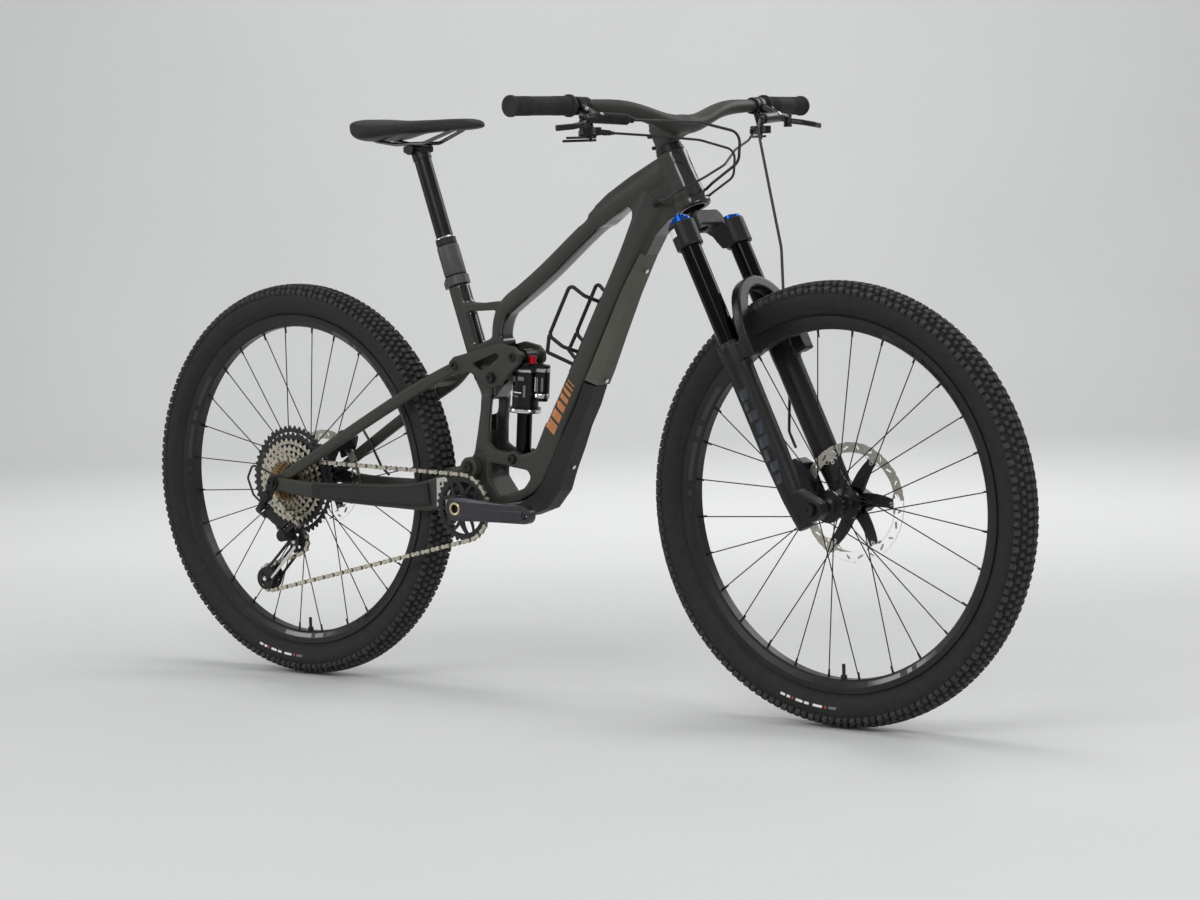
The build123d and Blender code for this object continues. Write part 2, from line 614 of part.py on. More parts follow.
def rim(x, label):
    """Carbon rim with hooked side walls and a valve stem at the bottom."""
    with BuildPart() as body:
        lathe([(RIM_INNER_R, -9), (296, -12.5), (306, -17.5), (RIM_R - 1, -18.6), (RIM_R, -17.5),
               (RIM_R, -15.6), (309.8, -15.4), (309.8, -9), (304, -7), (304, 7), (309.8, 9),
               (309.8, 15.4), (RIM_R, 15.6), (RIM_R, 17.5), (RIM_R - 1, 18.6), (306, 17.5),
               (296, 12.5), (RIM_INNER_R, 9)], wheel_plane(x, AXLE_Z))
        rod((x, 0, AXLE_Z - 304), (x, 0, AXLE_Z - 268), 3.0)
        rod((x, 0, AXLE_Z - 293), (x, 0, AXLE_Z - 287), 5.5)
    save(body.part, label)


def spokes(x, left, right, label):
    """Twenty-eight crossed spokes: left and right give the flange offset along Y."""
    with BuildPart() as lace:
        for k in range(14):
            for s, flange in ((1, left), (-1, right)):
                turn = 1 if k % 2 else -1
                at_rim = 2 * pi * (2 * k + (s < 0)) / 28 + pi / 28
                at_hub = at_rim + radians(66) * turn
                hub_y = flange + turn * 2.4
                rod((x + 24 * cos(at_hub), hub_y, AXLE_Z + 24 * sin(at_hub)),
                    (x + 294 * cos(at_rim), 3 * s, AXLE_Z + 294 * sin(at_rim)), 1.0)
    save(lace.part, label)


def rotor(x, r, y, label):
    """Two-piece brake disc: slotted braking ring and six-armed carrier."""
    with BuildPart() as ring:
        with BuildSketch(side(y + 1)) as track:
            with Locations((x, AXLE_Z)):
                Circle(r)
                Circle(r - 17, mode=Mode.SUBTRACT)
                with PolarLocations(r - 8, 24):
                    with Locations(Rotation(0, 0, 55)):
                        SlotOverall(13, 4.4, mode=Mode.SUBTRACT)
                with PolarLocations(r + 2.4, 12, start_angle=7):
                    Circle(5.0, mode=Mode.SUBTRACT)
        extrude(track.sketch, amount=2)
    with BuildPart() as carrier:
        with BuildSketch(side(y + 1.2)) as spider:
            with Locations((x, AXLE_Z)):
                Circle(27)
            for k in range(6):
                turn = Location((x, AXLE_Z), 60.0 * k)
                arm = [(18, -10), (r - 20, 4), (r - 12, 10), (r - 15, 19), (r - 26, 17), (18, 12)]
                with BuildLine():
                    Polyline(*[(turn * Location((p[0], p[1]))).position for p in arm], close=True)
                make_face()
            with Locations((x, AXLE_Z)):
                Circle(17.2, mode=Mode.SUBTRACT)
                with PolarLocations(40, 6, start_angle=6):
                    Circle(4.2, mode=Mode.SUBTRACT)
        extrude(spider.sketch, amount=2.4)
    save(Compound(children=[ring.part, carrier.part]), label)


tyre(AXLE_X, "front_tyre")
rim(AXLE_X, "front_rim")
spokes(AXLE_X, 21.0, -33.0, "front_spokes")
rotor(AXLE_X, FRONT_ROTOR_R, 40.0, "front_rotor")
with BuildPart() as front_hub:
    lathe([(7.58, -54.7), (11, -54.7), (11, -42), (16, -39), (27.5, -36), (27.5, -30), (16, -26),
           (13, -18), (13, 8), (16, 14), (27.5, 18), (27.5, 24), (18, 27), (17.1, 38.8),
           (17.1, 41.4), (20, 41.4), (20, 43.5), (12, 45), (11, 54.7), (7.58, 54.7)],
          wheel_plane(AXLE_X, AXLE_Z))
save(front_hub.part, "front_hub")

tyre(-AXLE_X, "rear_tyre")
rim(-AXLE_X, "rear_rim")
spokes(-AXLE_X, 36.0, -19.0, "rear_spokes")
rotor(-AXLE_X, REAR_ROTOR_R, 59.0, "rear_rotor")
with BuildPart() as rear_hub:
    lathe([(6.08, -73.8), (8.4, -73.8), (8.4, -26.5), (22, -26), (27.5, -22), (27.5, -16), (18, -12),
           (15, -4), (15, 20), (18, 28), (27.5, 33), (27.5, 39), (18, 44), (17.1, 57.8),
           (17.1, 60.4), (20, 60.4), (20, 62.5), (12, 64), (11, 73.8), (6.08, 73.8)],
          wheel_plane(-AXLE_X, AXLE_Z))
save(rear_hub.part, "rear_hub")

COGS = [10, 12, 14, 16, 18, 21, 24, 28, 33, 39, 45, 51]
with BuildPart() as cassette:
    y_ring(-AXLE_X, AXLE_Z, 16.0, 8.5, -71.6, -27.4)
    inner = 8.5
    for k, teeth in enumerate(COGS):
        cog_r = 6.35 / sin(pi / teeth) - 3.5
        cog_y = CHAIN_Y + 3.6 * (k - 5)
        y_ring(-AXLE_X, AXLE_Z, cog_r, inner, cog_y - 0.9, cog_y + 0.9)
        if cog_r > 27 and k < 11:
            y_ring(-AXLE_X, AXLE_Z, cog_r - 8, cog_r - 11, cog_y, cog_y + 3.6)
            inner = cog_r - 11
save(cassette.part, "cassette")

# ---------------------------------------------------------------- swingarm
CS = [(-166, 38.2, 412, 17, 26), (-186, 38.4, 398, 16.5, 40), (-207, 39.4, 385, 15, 50),
      (-242, 42.2, 366, 13, 58), (-300, 46, 358, 14, 50), (-400, 57, 358.5, 16, 40),
      (-480, 68, 361.5, 16, 34), (-545, 77, 366, 13, 30), (-582, 82.8, 370.5, 6.4, 28),
      (-614, 83.1, 374, 5.6, 27)]
with BuildPart() as chainstay:
    for s in (-1, 1):
        beam(flip(CS, s), 0.4)
        low, high = (28.8, 47.3) if s > 0 else (-47.3, -28.8)
        y_ring(MAIN_PIVOT[0], MAIN_PIVOT[1], 19, 7.5, low, high)
        low, high = (80.3, 86) if s > 0 else (-86, -80.3)
        y_rod(-AXLE_X, AXLE_Z, 17, low, high)
    plate([(-238, 372), (-206, 388), (-196, 410), (-214, 414), (-238, 402)], -41, 41, 4)
    y_rod(MAIN_PIVOT[0], MAIN_PIVOT[1], 8.0, -60, 60, Mode.SUBTRACT)
    y_rod(-AXLE_X, AXLE_Z, 6.05, -100, 100, Mode.SUBTRACT)
    plate([(-185, 330), (-185, 440), (-130, 440), (-130, 330)], -28.7, 28.7, 0, Mode.SUBTRACT)
save(chainstay.part, "chainstay")

with BuildPart() as chainstay_guard:
    beam([(-254, -52.3, 366, 3, 42), (-300, -55.6, 360, 3, 36), (-400, -67.7, 360, 3, 30),
          (-480, -78.6, 363, 3, 26), (-520, -82.6, 365, 3, 22)], 0.3)
save(chainstay_guard.part, "chainstay_guard")

with BuildPart() as rear_axle:
    y_rod(-AXLE_X, AXLE_Z, 6.0, -92.5, 86.3)
    y_rod(-AXLE_X, AXLE_Z, 9.5, 86.3, 89.5)
save(rear_axle.part, "rear_axle")

LINK_DIR = Vector(33.0, 8.0, -26.0).normalized()
LINK_AXIS = Vector(0.311, 0.722, 0.618).normalized()
LINK_FOOT = Vector(-637.0, -88.0, 320.0)
LINK_LEN = 42.8
LINK_TIP = LINK_FOOT + LINK_DIR * LINK_LEN
LINK_PLANE = Plane(origin=LINK_FOOT, x_dir=LINK_DIR, z_dir=LINK_AXIS)


def knuckle(foot, sign):
    """Cheeks, back and pin that hold one end of the derailleur's link."""
    frame_plane = Plane(origin=foot, x_dir=LINK_DIR, z_dir=LINK_AXIS)
    for low in (-12.0, 8.3):
        with BuildSketch(frame_plane.offset(low)) as cheek:
            with Locations((-6 * sign, 0)):
                RectangleRounded(26, 13, 5)
        extrude(cheek.sketch, amount=3.7)
    with BuildSketch(frame_plane.offset(-12)) as back:
        with Locations((-14.5 * sign, 0)):
            RectangleRounded(10, 16, 3)
    extrude(back.sketch, amount=24)
    with BuildSketch(frame_plane.offset(-12)) as pivot_pin:
        Circle(2.0)
    extrude(pivot_pin.sketch, amount=24)


with BuildPart() as derailleur_mount:
    y_rod(-AXLE_X, AXLE_Z, 13, -91, -86.3)
    rod((-AXLE_X, -88.65, AXLE_Z), (HANGER[0], -88.65, HANGER[1]), 2.3)
    plate([(-631, 378), (-609, 372), (-624, 345), (-643, 348)], -91, -86.3)
    y_rod(HANGER[0], HANGER[1], 10.5, -98, -84)
    rod((HANGER[0], -91, HANGER[1]), tuple(LINK_FOOT - LINK_DIR * 15), 8.0)
    knuckle(LINK_FOOT, 1)
    y_rod(-AXLE_X, AXLE_Z, 6.02, -100, -80, Mode.SUBTRACT)
save(derailleur_mount.part, "derailleur_mount")

with BuildPart() as derailleur_link:
    with BuildSketch(LINK_PLANE.offset(-8)) as strap:
        with Locations((LINK_LEN / 2, 0)):
            SlotCenterToCenter(LINK_LEN, 11)
        Circle(2.06, mode=Mode.SUBTRACT)
        with Locations((LINK_LEN, 0)):
            Circle(2.06, mode=Mode.SUBTRACT)
        with Locations((LINK_LEN / 2, 0)):
            SlotOverall(26, 5, mode=Mode.SUBTRACT)
    extrude(strap.sketch, amount=16)
save(derailleur_link.part, "derailleur_link")

with BuildPart() as derailleur_knuckle:
    knuckle(LINK_TIP, -1)
    y_rod(CAGE_PIVOT[0], CAGE_PIVOT[1], 11.5, -93, -68)
    with BuildSketch(Plane(origin=LINK_TIP, x_dir=LINK_DIR, z_dir=LINK_AXIS).offset(-8.3)) as gap:
        Circle(7.0)
    extrude(gap.sketch, amount=16.6, mode=Mode.SUBTRACT)
    with BuildSketch(Plane(origin=LINK_TIP, x_dir=LINK_DIR, z_dir=LINK_AXIS).offset(-12)) as pin:
        Circle(2.0)
    extrude(pin.sketch, amount=24)
    plate([(-640, 240), (-640, 330), (-560, 330), (-560, 240)], -67.8, -40, 0, Mode.SUBTRACT)
    y_rod(CAGE_PIVOT[0], CAGE_PIVOT[1], 5.0, -68, -60)
save(derailleur_knuckle.part, "derailleur_knuckle")

with BuildPart() as derailleur_cage:
    mid_x = (GUIDE[0] + TENSION[0]) / 2
    mid_z = (GUIDE[1] + TENSION[1]) / 2
    for y_high in (-63.4, -39.5):
        with BuildSketch(side(y_high)) as cheek:
            with Locations((TENSION[0] + 3, TENSION[1] - 2)):
                Circle(24 if y_high < -50 else 19)
            with BuildLine():
                Polyline((GUIDE[0] - 14, GUIDE[1] + 6), (GUIDE[0] + 4, GUIDE[1] - 15),
                         (TENSION[0] + 20, TENSION[1] - 10), (TENSION[0] - 16, TENSION[1] + 18), close=True)
            make_face()
            with Locations(GUIDE):
                Circle(14)
            with Locations(CAGE_PIVOT):
                Circle(13)
            with Locations((mid_x + 4, mid_z + 2)):
                Rectangle(34, 9, rotation=42, mode=Mode.SUBTRACT)
            with Locations(CAGE_PIVOT):
                Circle(5.06, mode=Mode.SUBTRACT)
        extrude(cheek.sketch, amount=2.1)
    for p in (GUIDE, TENSION):
        y_rod(p[0], p[1], 2.5, -66.5, -39.5)
        y_rod(p[0], p[1], 4.5, -64, -54.4)
        y_rod(p[0], p[1], 4.5, -49.6, -41)
    y_rod(CAGE_PIVOT[0], CAGE_PIVOT[1], 5.06, -70, -63.6, Mode.SUBTRACT)
save(derailleur_cage.part, "derailleur_cage")

for p, name in ((GUIDE, "guide_pulley"), (TENSION, "tension_pulley")):
    with BuildPart() as pulley:
        y_ring(p[0], p[1], PULLEY_PITCH_R - 3.6, 2.56, -53.4, -50.6)
        with BuildSketch(side(-49)) as holes:
            with Locations(p):
                with PolarLocations(13, 6):
                    Circle(3.6)
        extrude(holes.sketch, amount=6, mode=Mode.SUBTRACT)
    save(pulley.part, name)

with BuildPart() as brake_line:
    hose([(-452, 57, 383), (-468, 54, 398), (-494, 52, 446), (-516, 53, 474), (-540, 53, 474),
          (-548, 53, 463)], 2.5, 9)
with BuildPart() as housing:
    hose([(-604, -90.5, 388), (-634, -92, 400), (-664, -95, 409), (-679, -94, 384), (-668, -92, 352),
          (-650, -91, 338)], 2.1, 9)
save(Compound(children=[brake_line.part, housing.part]), "rear_lines")

# ---------------------------------------------------------------- seatstay, rocker, shock
SS = [(-196, 24.7, 598.5, 7.4, 20), (-216, 24.9, 591, 7.6, 21), (-238, 33, 579, 12, 22),
      (-264, 41.5, 565, 14, 23), (-300, 46.5, 547, 14, 23), (-400, 54, 495.5, 14, 22),
      (-500, 64, 441, 14, 21), (-560, 72, 408, 11.5, 21), (-592, 76.7, 390.5, 6.2, 20),
      (-612, 77.1, 379.5, 5.6, 20)]
with BuildPart() as seatstay:
    for s in (-1, 1):
        beam(flip(SS, s), 0.36)
        low, high = (20.9, 28.9) if s > 0 else (-28.9, -20.9)
        y_rod(ROCKER_REAR[0], ROCKER_REAR[1], 12.5, low, high)
        low, high = (74.3, 79.9) if s > 0 else (-79.9, -74.3)
        y_rod(-AXLE_X, AXLE_Z, 15, low, high)
    plate([(-276, 567), (-251, 579), (-245, 568), (-270, 556)], -38, 38, 3)
    y_rod(ROCKER_REAR[0], ROCKER_REAR[1], LINK_BORE_R, -60, 60, Mode.SUBTRACT)
    y_rod(-AXLE_X, AXLE_Z, 6.08, -100, 100, Mode.SUBTRACT)
save(seatstay.part, "seatstay")

with BuildPart() as rear_caliper:
    plate([(-600, 440), (-566, 467), (-538, 454), (-546, 430), (-572, 424), (-592, 428)], 48, 69, 5)
    y_rod(-AXLE_X, AXLE_Z, REAR_ROTOR_R + 3, 57, 61, Mode.SUBTRACT)
    plate([(-582, 410), (-545, 424), (-548, 434), (-586, 430)], 62, 68, 2)
    y_rod(-AXLE_X, AXLE_Z, REAR_ROTOR_R + 3, 57, 61, Mode.SUBTRACT)
save(rear_caliper.part, "rear_caliper")

ROCKER = [(-204, 590), (-206, 606), (-194, 616), (-82, 641), (-50, 634), (-37, 622), (-38, 606),
          (-90, 565), (-105, 561), (-121, 566), (-158, 590), (-190, 585)]
pieces = []
for low, high in ((-38.5, -29.4), (29.4, 38.5)):
    with BuildPart() as plate_link:
        plate(ROCKER, low, high, 5)
        plate([(-152, 604), (-92, 624), (-84, 617), (-112, 598), (-130, 592)], low - 1, high + 1, 3,
              Mode.SUBTRACT)
        y_rod(ROCKER_MID[0], ROCKER_MID[1], 8.0, low - 1, high + 1, Mode.SUBTRACT)
        for p in (ROCKER_REAR, SHOCK_TOP):
            y_rod(p[0], p[1], LINK_PIN_R + 0.02, low - 1, high + 1, Mode.SUBTRACT)
    pieces.append(plate_link.part)
with BuildPart() as front_bolt:
    y_rod(SHOCK_TOP[0], SHOCK_TOP[1], LINK_PIN_R, -41, 41)
    for low, high in ((-41.5, -38.6), (38.6, 41.5), (-29.3, -12.6), (12.6, 29.3)):
        y_rod(SHOCK_TOP[0], SHOCK_TOP[1], 8.5, low, high)
pieces.append(front_bolt.part)
for s in (-1, 1):
    with BuildPart() as rear_bolt:
        y_rod(ROCKER_REAR[0], ROCKER_REAR[1], LINK_PIN_R, min(20.3 * s, 41 * s), max(20.3 * s, 41 * s))
        y_rod(ROCKER_REAR[0], ROCKER_REAR[1], 9.5, min(38.6 * s, 41.5 * s), max(38.6 * s, 41.5 * s))
    pieces.append(rear_bolt.part)
save(Compound(children=pieces), "rocker_link")

SHOCK_LEN = hypot(SHOCK_TOP[0] - SHOCK_LOW[0], SHOCK_TOP[1] - SHOCK_LOW[1])
SHOCK_UP = ((SHOCK_TOP[0] - SHOCK_LOW[0]) / SHOCK_LEN, 0, (SHOCK_TOP[1] - SHOCK_LOW[1]) / SHOCK_LEN)
SHOCK = Plane(origin=(SHOCK_LOW[0], 0, SHOCK_LOW[1]), x_dir=(SHOCK_UP[2], 0, -SHOCK_UP[0]), z_dir=SHOCK_UP)
with BuildPart() as shock_body:
    tube_on(SHOCK, 24.0, 0, 90, 166)
    tube_on(SHOCK, 28.5, 0, 83, 92)
    tube_on(SHOCK, 20.0, 0, 166, 174)
    tube_on(SHOCK, 10.5, 0, 166, 184)
    with BuildSketch(SHOCK.offset(158)) as bridge:
        with Locations((18, 0)):
            RectangleRounded(54, 26, 8)
    extrude(bridge.sketch, amount=14)
    tube_on(SHOCK, 13.5, 0, 112, 172, x=38.0)
    tube_on(SHOCK, 11.0, 0, 107, 112, x=38.0)
    y_rod(SHOCK_TOP[0], SHOCK_TOP[1], 11.5, -12, 12)
    tube_on(SHOCK, 13.98, 0, 80, 156, mode=Mode.SUBTRACT)
    y_rod(SHOCK_TOP[0], SHOCK_TOP[1], LINK_BORE_R, -30, 30, Mode.SUBTRACT)
save(shock_body.part, "shock_body")

with BuildPart() as shock_shaft:
    tube_on(SHOCK, 13.9, 0, 14, 106)
    tube_on(SHOCK, 15.0, 0, 8, 16)
    y_rod(SHOCK_LOW[0], SHOCK_LOW[1], 11.5, -15.2, 15.2)
    y_rod(SHOCK_LOW[0], SHOCK_LOW[1], 4.98, -30, 30, Mode.SUBTRACT)
save(shock_shaft.part, "shock_shaft")

with BuildPart() as rebound_knob:
    tube_on(SHOCK, 7.0, 0, 174.3, 188, x=23.0, y=-12.0)
save(rebound_knob.part, "rebound_knob")

# ---------------------------------------------------------------- drivetrain
EYE = (BB[0] + CRANK_LEN * 0.99974, BB[1] - CRANK_LEN * 0.0229)
with BuildPart() as crank_arm_right:
    y_rod(BB[0], BB[1], 22, -75, -58)
    beam([(BB[0], -66.5, BB[1], 17, 40), (BB[0] + 50, -69, BB[1] - 1, 15, 33),
          (BB[0] + 120, -76, BB[1] - 3, 14, 29), (EYE[0], -80.5, EYE[1], 13.5, 28)], 0.34)
    y_rod(EYE[0], EYE[1], 14.5, -88, -73.5)
    y_rod(BB[0], BB[1], 14.5, -80, -50, Mode.SUBTRACT)
    y_rod(EYE[0], EYE[1], 7.14, -90, -70, Mode.SUBTRACT)
save(crank_arm_right.part, "crank_arm_right")

LEFT_EYE = (2 * BB[0] - EYE[0], 2 * BB[1] - EYE[1])
with BuildPart() as crank_arm_left:
    y_rod(BB[0], BB[1], 22, 47.4, 70)
    beam([(BB[0], 61, BB[1], 16, 40), (BB[0] - 50, 65.5, BB[1] + 1, 15, 33),
          (BB[0] - 120, 74.5, BB[1] + 3, 14, 29), (LEFT_EYE[0], 80.5, LEFT_EYE[1], 13.5, 28)], 0.34)
    y_rod(LEFT_EYE[0], LEFT_EYE[1], 14.5, 73.5, 88)
    y_rod(LEFT_EYE[0], LEFT_EYE[1], 7.14, 70, 90, Mode.SUBTRACT)
    y_rod(BB[0], BB[1], 14.5, -74.5, 60)
    y_rod(BB[0], BB[1], 8.0, -76, -20, Mode.SUBTRACT)
save(crank_arm_left.part, "crank_arm_left")

with BuildPart() as chainring:
    with BuildSketch(side(CHAIN_Y + 2)) as ring:
        with Locations(BB):
            Circle(RING_PITCH_R - 3.5)
            with PolarLocations(36, 6, start_angle=15):
                RectangleRounded(17, 17, 5, mode=Mode.SUBTRACT)
            Circle(14.55, mode=Mode.SUBTRACT)
    extrude(ring.sketch, amount=4)
    y_ring(BB[0], BB[1], 22, 14.55, -57.6, -49.4)
save(chainring.part, "chainring")


def tangent_line(c1, r1, c2, r2, side_sign):
    """Points where a straight chain run leaves circle 1 and meets circle 2.

    Signed radii: circles wrapped the same way share a sign. side_sign picks the run's side.
    """
    dx = c2[0] - c1[0]
    dz = c2[1] - c1[1]
    dist = hypot(dx, dz)
    base = atan2(dz, dx)
    lean = acos((r1 - r2) / dist)
    angle = base + side_sign * lean
    return ((c1[0] + r1 * cos(angle), c1[1] + r1 * sin(angle)),
            (c2[0] + r2 * cos(angle), c2[1] + r2 * sin(angle)))


COG = (-AXLE_X, AXLE_Z)
top_run = tangent_line(BB, RING_PITCH_R, COG, COG_PITCH_R, -1)
drop_run = tangent_line(COG, COG_PITCH_R, GUIDE, -PULLEY_PITCH_R, -1)
cross_run = tangent_line(GUIDE, -PULLEY_PITCH_R, TENSION, PULLEY_PITCH_R, -1)
low_run = tangent_line(TENSION, PULLEY_PITCH_R, BB, RING_PITCH_R, -1)


def arc_mid(centre, start, end, ccw):
    """Middle point of an arc about a centre."""
    a = atan2(start[1] - centre[1], start[0] - centre[0])
    b = atan2(end[1] - centre[1], end[0] - centre[0])
    if ccw and b < a:
        b += 2 * pi
    if not ccw and b > a:
        b -= 2 * pi
    r = hypot(start[0] - centre[0], start[1] - centre[1])
    m = (a + b) / 2
    return (centre[0] + r * cos(m), centre[1] + r * sin(m))


with BuildPart() as chain:
    with BuildSketch(side(CHAIN_Y + 2.6)) as loop:
        with BuildLine():
            Line(top_run[0], top_run[1])
            ThreePointArc(top_run[1], arc_mid(COG, top_run[1], drop_run[0], True), drop_run[0])
            Line(drop_run[0], drop_run[1])
            ThreePointArc(drop_run[1], arc_mid(GUIDE, drop_run[1], cross_run[0], False), cross_run[0])
            Line(cross_run[0], cross_run[1])
            ThreePointArc(cross_run[1], arc_mid(TENSION, cross_run[1], low_run[0], True), low_run[0])
            Line(low_run[0], low_run[1])
            ThreePointArc(low_run[1], arc_mid(BB, low_run[1], top_run[0], True), top_run[0])
        make_face()
    with BuildSketch(side(CHAIN_Y + 2.6)) as outer:
        add(loop.sketch)
        offset(amount=3.4)
    with BuildSketch(side(CHAIN_Y + 2.6)) as inner_edge:
        add(loop.sketch)
        offset(amount=-3.2)
    extrude(outer.sketch, amount=5.2)
    extrude(inner_edge.sketch, amount=5.2, mode=Mode.SUBTRACT)
save(chain.part, "chain")

# ---------------------------------------------------------------- hoses
with BuildPart() as front_brake_hose:
    hose([(349, 179.4, 1024), (356, 162, 1008), (392, 146, 890), (424, 128, 800), (440, 108, 715),
          (446, 99, 640), (462, 88, 560), (484, 52, 490), (504, 42, 464)], 2.5,
         (14, 60, 90, 60, 60, 40, 20))
save(front_brake_hose.part, "front_brake_hose")

with BuildPart() as rear_brake_hose:
    hose([(350, -179, 1024), (354, -110, 1022), (366, -20, 1019), (394, 58, 1000), (388, 60, 950),
          (352, 30, 915)], 2.5, (60, 60, 24, 24))
with BuildPart() as shift_housing:
    hose([(317, -206, 1004), (340, -120, 998), (366, -20, 989), (394, 42, 970), (388, 44, 925),
          (352, 26, 897)], 2.1, (60, 60, 20, 20))
with BuildPart() as dropper_housing:
    hose([(317, 206, 1004), (330, 170, 988), (345, 110, 972), (374, 38, 946), (374, -22, 925),
          (338, -46, 904), (302, -39, 890), (288, -37, 888)], 2.1, (18, 50, 40, 24, 24, 10))
save(Compound(children=[rear_brake_hose.part, shift_housing.part, dropper_housing.part]), "control_lines")

# ---------------------------------------------------------------- saddle
with BuildPart() as dropper_post:
    tube_on(SEAT, POST_R, 13.0, 8, 246)
    tube_on(SEAT, 17.5, 0, 232, 246)
    beam([(-319, 0, 994, 30, 12), (-296, 0, 994, 34, 16), (-272, 0, 994, 30, 12)], 0.3)
    y_rod(-296, 993, 9, -26, 26)
save(dropper_post.part, "dropper_post")

rails = []
for s in (-1, 1):
    with BuildPart() as rail:
        hose([(-398, 30 * s, 1034), (-378, 26 * s, 1012), (-330, 22 * s, 1004), (-262, 22 * s, 1004),
              (-196, 14 * s, 1026), (-180, 9 * s, 1034)], 3.5, (14, 30, 30, 10))
    rails.append(rail.part)
save(Compound(children=rails), "saddle_rails")

with BuildPart() as saddle:
    beam([(-420, 0, 1042, 100, 18), (-404, 0, 1036, 132, 32), (-370, 0, 1031.5, 142, 41),
          (-335, 0, 1030.5, 124, 38), (-300, 0, 1033, 88, 30), (-260, 0, 1035, 60, 25),
          (-215, 0, 1035.5, 46, 24), (-175, 0, 1035, 40, 24), (-148, 0, 1033.5, 32, 20),
          (-138, 0, 1032, 22, 12)], 0.42)
save(saddle.part, "saddle")
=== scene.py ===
from math import acos, atan2, cos, exp, hypot, pi, radians, sin

import bmesh
import bpy
from mathutils import Matrix, Vector
from mathutils.bvhtree import BVHTree


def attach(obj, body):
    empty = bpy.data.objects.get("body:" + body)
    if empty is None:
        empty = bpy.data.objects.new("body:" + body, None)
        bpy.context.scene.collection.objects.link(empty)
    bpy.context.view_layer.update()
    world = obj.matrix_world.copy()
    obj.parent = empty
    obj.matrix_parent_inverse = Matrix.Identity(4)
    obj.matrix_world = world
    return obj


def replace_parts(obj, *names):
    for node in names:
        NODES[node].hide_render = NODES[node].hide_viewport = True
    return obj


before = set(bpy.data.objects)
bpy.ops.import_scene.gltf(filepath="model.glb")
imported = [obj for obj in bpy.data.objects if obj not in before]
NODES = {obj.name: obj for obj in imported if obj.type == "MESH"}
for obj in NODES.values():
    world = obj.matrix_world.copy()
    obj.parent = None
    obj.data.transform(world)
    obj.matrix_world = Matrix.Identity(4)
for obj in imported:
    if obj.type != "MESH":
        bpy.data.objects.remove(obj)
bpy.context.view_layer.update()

MM = 0.001
X, Y, Z = Vector((1, 0, 0)), Vector((0, 1, 0)), Vector((0, 0, 1))

# Places of the bike's main axes, in millimetres; pairs are (x, z)
WHEELS = (("front", 620), ("rear", -620))
AXLE_Z = 375.1
COG = (-620, AXLE_Z)
BB = (-172, 343)
GUIDE, TENSION = (-592, 262), (-673, 187)
CHAIN_Y = -52
STEER, STEER_UP = Vector((580.3, 0, 356)), Vector((-0.4305, 0, 0.9026))
SEAT, SEAT_UP = Vector((-212, 0, 755)), Vector((-0.3173, 0, 0.9483))
SHOCK, SHOCK_UP, SHOCK_X = Vector((-68, 0, 433)), Vector((0.0915, 0, 0.9958)), Vector((0.9958, 0, -0.0915))

# The camera's azimuth, height and roll, in radians
AZIMUTH, HEIGHT, ROLL = 0.680266, 0.0860192, -0.0322395


# ---- camera, light and floor
def look(az, el, roll):
    """Axes of a camera that looks at the bike from an azimuth and a height, tilted by roll."""
    back = Vector((sin(az) * cos(el), -cos(az) * cos(el), sin(el)))
    right = Vector((cos(az), sin(az), 0))
    up = back.cross(right)
    side_axis = right * cos(roll) + up * sin(roll)
    up_axis = up * cos(roll) - right * sin(roll)
    return Matrix((side_axis, up_axis, back)).transposed()


cam_data = bpy.data.cameras.new("camera")
cam_data.sensor_width = 36
cam_data.lens = 92.467
cam_data.clip_end = 60
cam = bpy.data.objects.new("camera", cam_data)
cam.matrix_world = Matrix.Translation((3.52525, -4.2205, 0.91988)) @ look(AZIMUTH, HEIGHT, ROLL).to_4x4()
bpy.context.scene.collection.objects.link(cam)
bpy.context.scene.camera = cam


def area(name, at, target, size, power):
    """Soft rectangular studio light aimed at a point."""
    data = bpy.data.lights.new(name, "AREA")
    data.shape = "RECTANGLE"
    data.size, data.size_y = size
    data.energy = power
    lamp = bpy.data.objects.new(name, data)
    lamp.location = at
    lamp.rotation_euler = (Vector(target) - Vector(at)).to_track_quat("-Z", "Y").to_euler()
    bpy.context.scene.collection.objects.link(lamp)


area("key", (0.6, -3.6, 3.0), (0, 0, 0.5), (3.2, 1.2), 62)
area("front_fill", (4.4, -1.0, 1.5), (0.2, 0, 0.6), (1.2, 2.4), 46)
area("rear_fill", (-3.6, -2.4, 1.9), (-0.3, 0, 0.5), (1.2, 2.2), 34)
area("top", (0, 0.4, 3.8), (0, 0, 0.4), (3.4, 1.4), 52)
area("back", (0.8, 3.2, 2.4), (0, 0, 0.6), (3.0, 1.0), 34)
area("wall", (-1.2, 2.2, 3.6), (-4.4, 5.4, 1.6), (4.0, 2.0), 150)
world = bpy.data.worlds.new("studio")
world.use_nodes = True
world.node_tree.nodes["Background"].inputs["Color"].default_value = (0.8, 0.82, 0.85, 1)
world.node_tree.nodes["Background"].inputs["Strength"].default_value = 0.42
bpy.context.scene.world = world
bpy.context.scene.view_settings.view_transform = "Standard"


